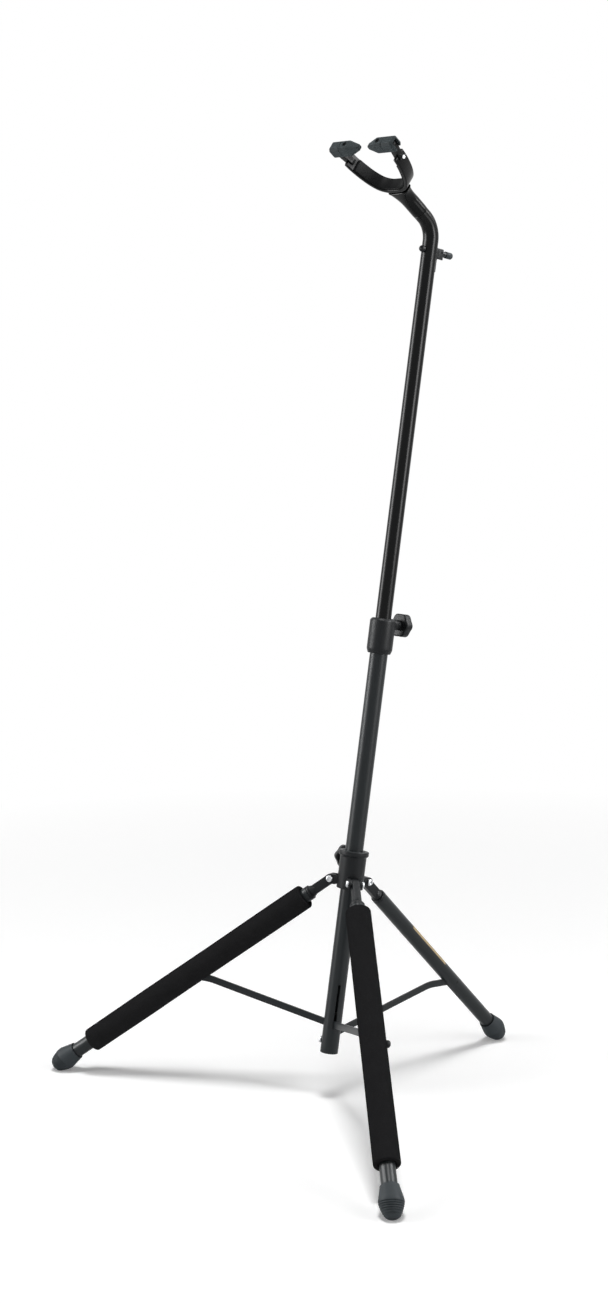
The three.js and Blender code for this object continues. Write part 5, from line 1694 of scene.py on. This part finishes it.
class STAND_OT_stage(bpy.types.Operator):
    """Pale floor, white background, soft lamps and the camera"""

    bl_idname = "stand.stage"
    bl_label = "Stage"

    def execute(self, context):
        scene = context.scene
        scene.view_settings.view_transform = "Standard"
        self.camera(scene)
        self.floor(scene)
        self.world(scene)
        self.lamps(scene)
        return {"FINISHED"}

    def set_up(self, scene, data, place, *axes):
        """Adds a camera or lamp at a place, with its own X, Y and Z along three directions."""
        thing = bpy.data.objects.new(data.name, data)
        scene.collection.objects.link(thing)
        thing.matrix_world = Matrix.Translation(place) @ Matrix(np.column_stack(axes).tolist()).to_4x4()
        return thing

    def camera(self, scene):
        """A camera at the photograph's place, its long side upright."""
        data = bpy.data.cameras.new("camera")
        data.lens, data.sensor_width = CAMERA_LENS, CAMERA_SENSOR
        ahead = unit(CAMERA_AHEAD)
        right = unit(np.cross(ahead, CAMERA_UP))
        scene.camera = self.set_up(scene, data, CAMERA_PLACE, right, np.cross(right, ahead), -ahead)

    def floor(self, scene):
        """A wide flat disc: rings of growing radius round the stand."""
        angle = turning(FACETS)
        circle = np.stack([np.cos(angle), np.sin(angle), 0 * angle], axis=-1)
        rings = np.array(FLOOR_RADII)[:, None, None] * circle
        rows, columns = rings.shape[:2]
        number = np.arange(rows * columns).reshape(rows, columns)
        beside = np.roll(number, -1, axis=1)
        quads = np.stack([number[:-1], number[1:], beside[1:], beside[:-1]], axis=-1).reshape(-1, 4)
        middle = [number[0].tolist()]
        mesh = bpy.data.meshes.new("floor")
        mesh.from_pydata(rings.reshape(-1, 3).tolist(), [], quads.tolist() + middle)
        floor = bpy.data.objects.new("floor", mesh)
        scene.collection.objects.link(floor)
        floor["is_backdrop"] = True
        mesh.materials.append(self.pale(scene))

    def pale(self, scene):
        """Matt under the lamps. Where it is seen, a thin veil of white lies over it near the stand, and it
        fades into the background further out."""
        material = bpy.data.materials.new("pale_floor")
        material.use_nodes = True
        sheet = Sheet(material.node_tree)
        colour = shade(scene.stand_colours.floor, 1.0)
        matt = sheet.tap("ShaderNodeBsdfDiffuse", 0, None, {"Color": colour})
        glow = sheet.tap("ShaderNodeEmission", 0, None, {"Color": WHITE, "Strength": 1.0})
        far = sheet.tap("ShaderNodeVectorMath", "Value", {"operation": "LENGTH"}, {0: sheet.place()})
        share = ((far - FLOOR_FADE_START) * FLOOR_FADE).clipped()
        veil = sheet.tap("ShaderNodeEmission", 0, None, {"Color": WHITE, "Strength": FLOOR_VEIL})
        near = sheet.tap("ShaderNodeAddShader", 0, None, {0: matt, 1: veil})
        shown = sheet.tap("ShaderNodeMixShader", 0, None, {0: share, 1: near, 2: glow})
        mix = sheet.node("ShaderNodeMixShader", None, {0: self.seen(sheet), 1: matt, 2: shown})
        sheet.node("ShaderNodeOutputMaterial", None, {"Surface": Tap(sheet, mix.outputs[0])})
        return material

    def seen(self, sheet):
        """One where a ray comes from the camera, a mirror or glass."""
        path = sheet.node("ShaderNodeLightPath")
        rays = ("Is Camera Ray", "Is Glossy Ray", "Is Transmission Ray")
        camera, glossy, glass = (Tap(sheet, path.outputs[ray]) for ray in rays)
        return (camera + glossy + glass).clipped()

    def world(self, scene):
        """White where it is seen or mirrored, and a plain grey light otherwise."""
        world = bpy.data.worlds.new("room")
        world.use_nodes = True
        scene.world = world
        sheet = Sheet(world.node_tree)
        light = sheet.tap("ShaderNodeBackground", 0, None, {"Color": WHITE, "Strength": WORLD_LIGHT})
        white = sheet.tap("ShaderNodeBackground", 0, None, {"Color": WHITE, "Strength": 1.0})
        mix = sheet.node("ShaderNodeMixShader", None, {0: self.seen(sheet), 1: light, 2: white})
        sheet.node("ShaderNodeOutputWorld", None, {"Surface": Tap(sheet, mix.outputs[0])})

    def lamps(self, scene):
        """Two tall soft lamps beside the camera, a large one far above, and panels that only gloss shows."""
        for name, (place, width, height, power) in (LAMPS | PANELS).items():
            data = bpy.data.lights.new(name, "AREA")
            data.shape, data.size, data.size_y, data.energy = "RECTANGLE", width, height, power
            back = unit(np.array(place) - LAMP_TARGET)
            lamp = self.set_up(scene, data, place, *basis(back, np.cross(Z, back)))
            lamp.visible_diffuse = name in LAMPS


OPERATORS = [
    STAND_OT_stage,
    STAND_OT_mast,
    STAND_OT_legs,
    STAND_OT_sleeves,
    STAND_OT_bars,
    STAND_OT_feet,
    STAND_OT_hub,
    STAND_OT_knobs,
    STAND_OT_clamp,
    STAND_OT_holder,
    STAND_OT_neck,
    STAND_OT_fork,
    STAND_OT_gates,
    STAND_OT_strip,
    STAND_OT_inside,
]


class STAND_PT_panel(bpy.types.Panel):
    """The stand's sizes, colours and pieces"""

    bl_idname = "STAND_PT_panel"
    bl_label = "Floor stand"
    bl_space_type = "VIEW_3D"
    bl_region_type = "UI"
    bl_category = "Stand"

    def draw(self, context):
        for group in (context.scene.stand_sizes, context.scene.stand_colours):
            box = self.layout.box()
            for name in group.bl_rna.properties.keys():
                if name not in ("rna_type", "name"):
                    box.prop(group, name)
        for operator in OPERATORS:
            self.layout.operator(operator.bl_idname)


CLASSES = [StandSizes, StandColours, *OPERATORS, STAND_PT_panel]


def register():
    for kind in CLASSES:
        bpy.utils.register_class(kind)
    bpy.types.Scene.stand_sizes = bpy.props.PointerProperty(type=StandSizes)
    bpy.types.Scene.stand_colours = bpy.props.PointerProperty(type=StandColours)


def unregister():
    del bpy.types.Scene.stand_colours
    del bpy.types.Scene.stand_sizes
    for kind in reversed(CLASSES):
        bpy.utils.unregister_class(kind)


def corners(box):
    """A box's two corners as plain lists."""
    return [[float(part) for part in corner] for corner in box]


def main():
    """Registers the add-on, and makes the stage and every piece."""
    register()
    before = corners(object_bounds())
    set_foot_ends(bpy.context.scene.stand_sizes.mm("foot_widest"))
    for operator in OPERATORS:
        group, name = operator.bl_idname.split(".")
        getattr(getattr(bpy.ops, group), name)()
    {"cad": before, "visual": corners(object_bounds())}


if __name__ == "__main__":
    main()
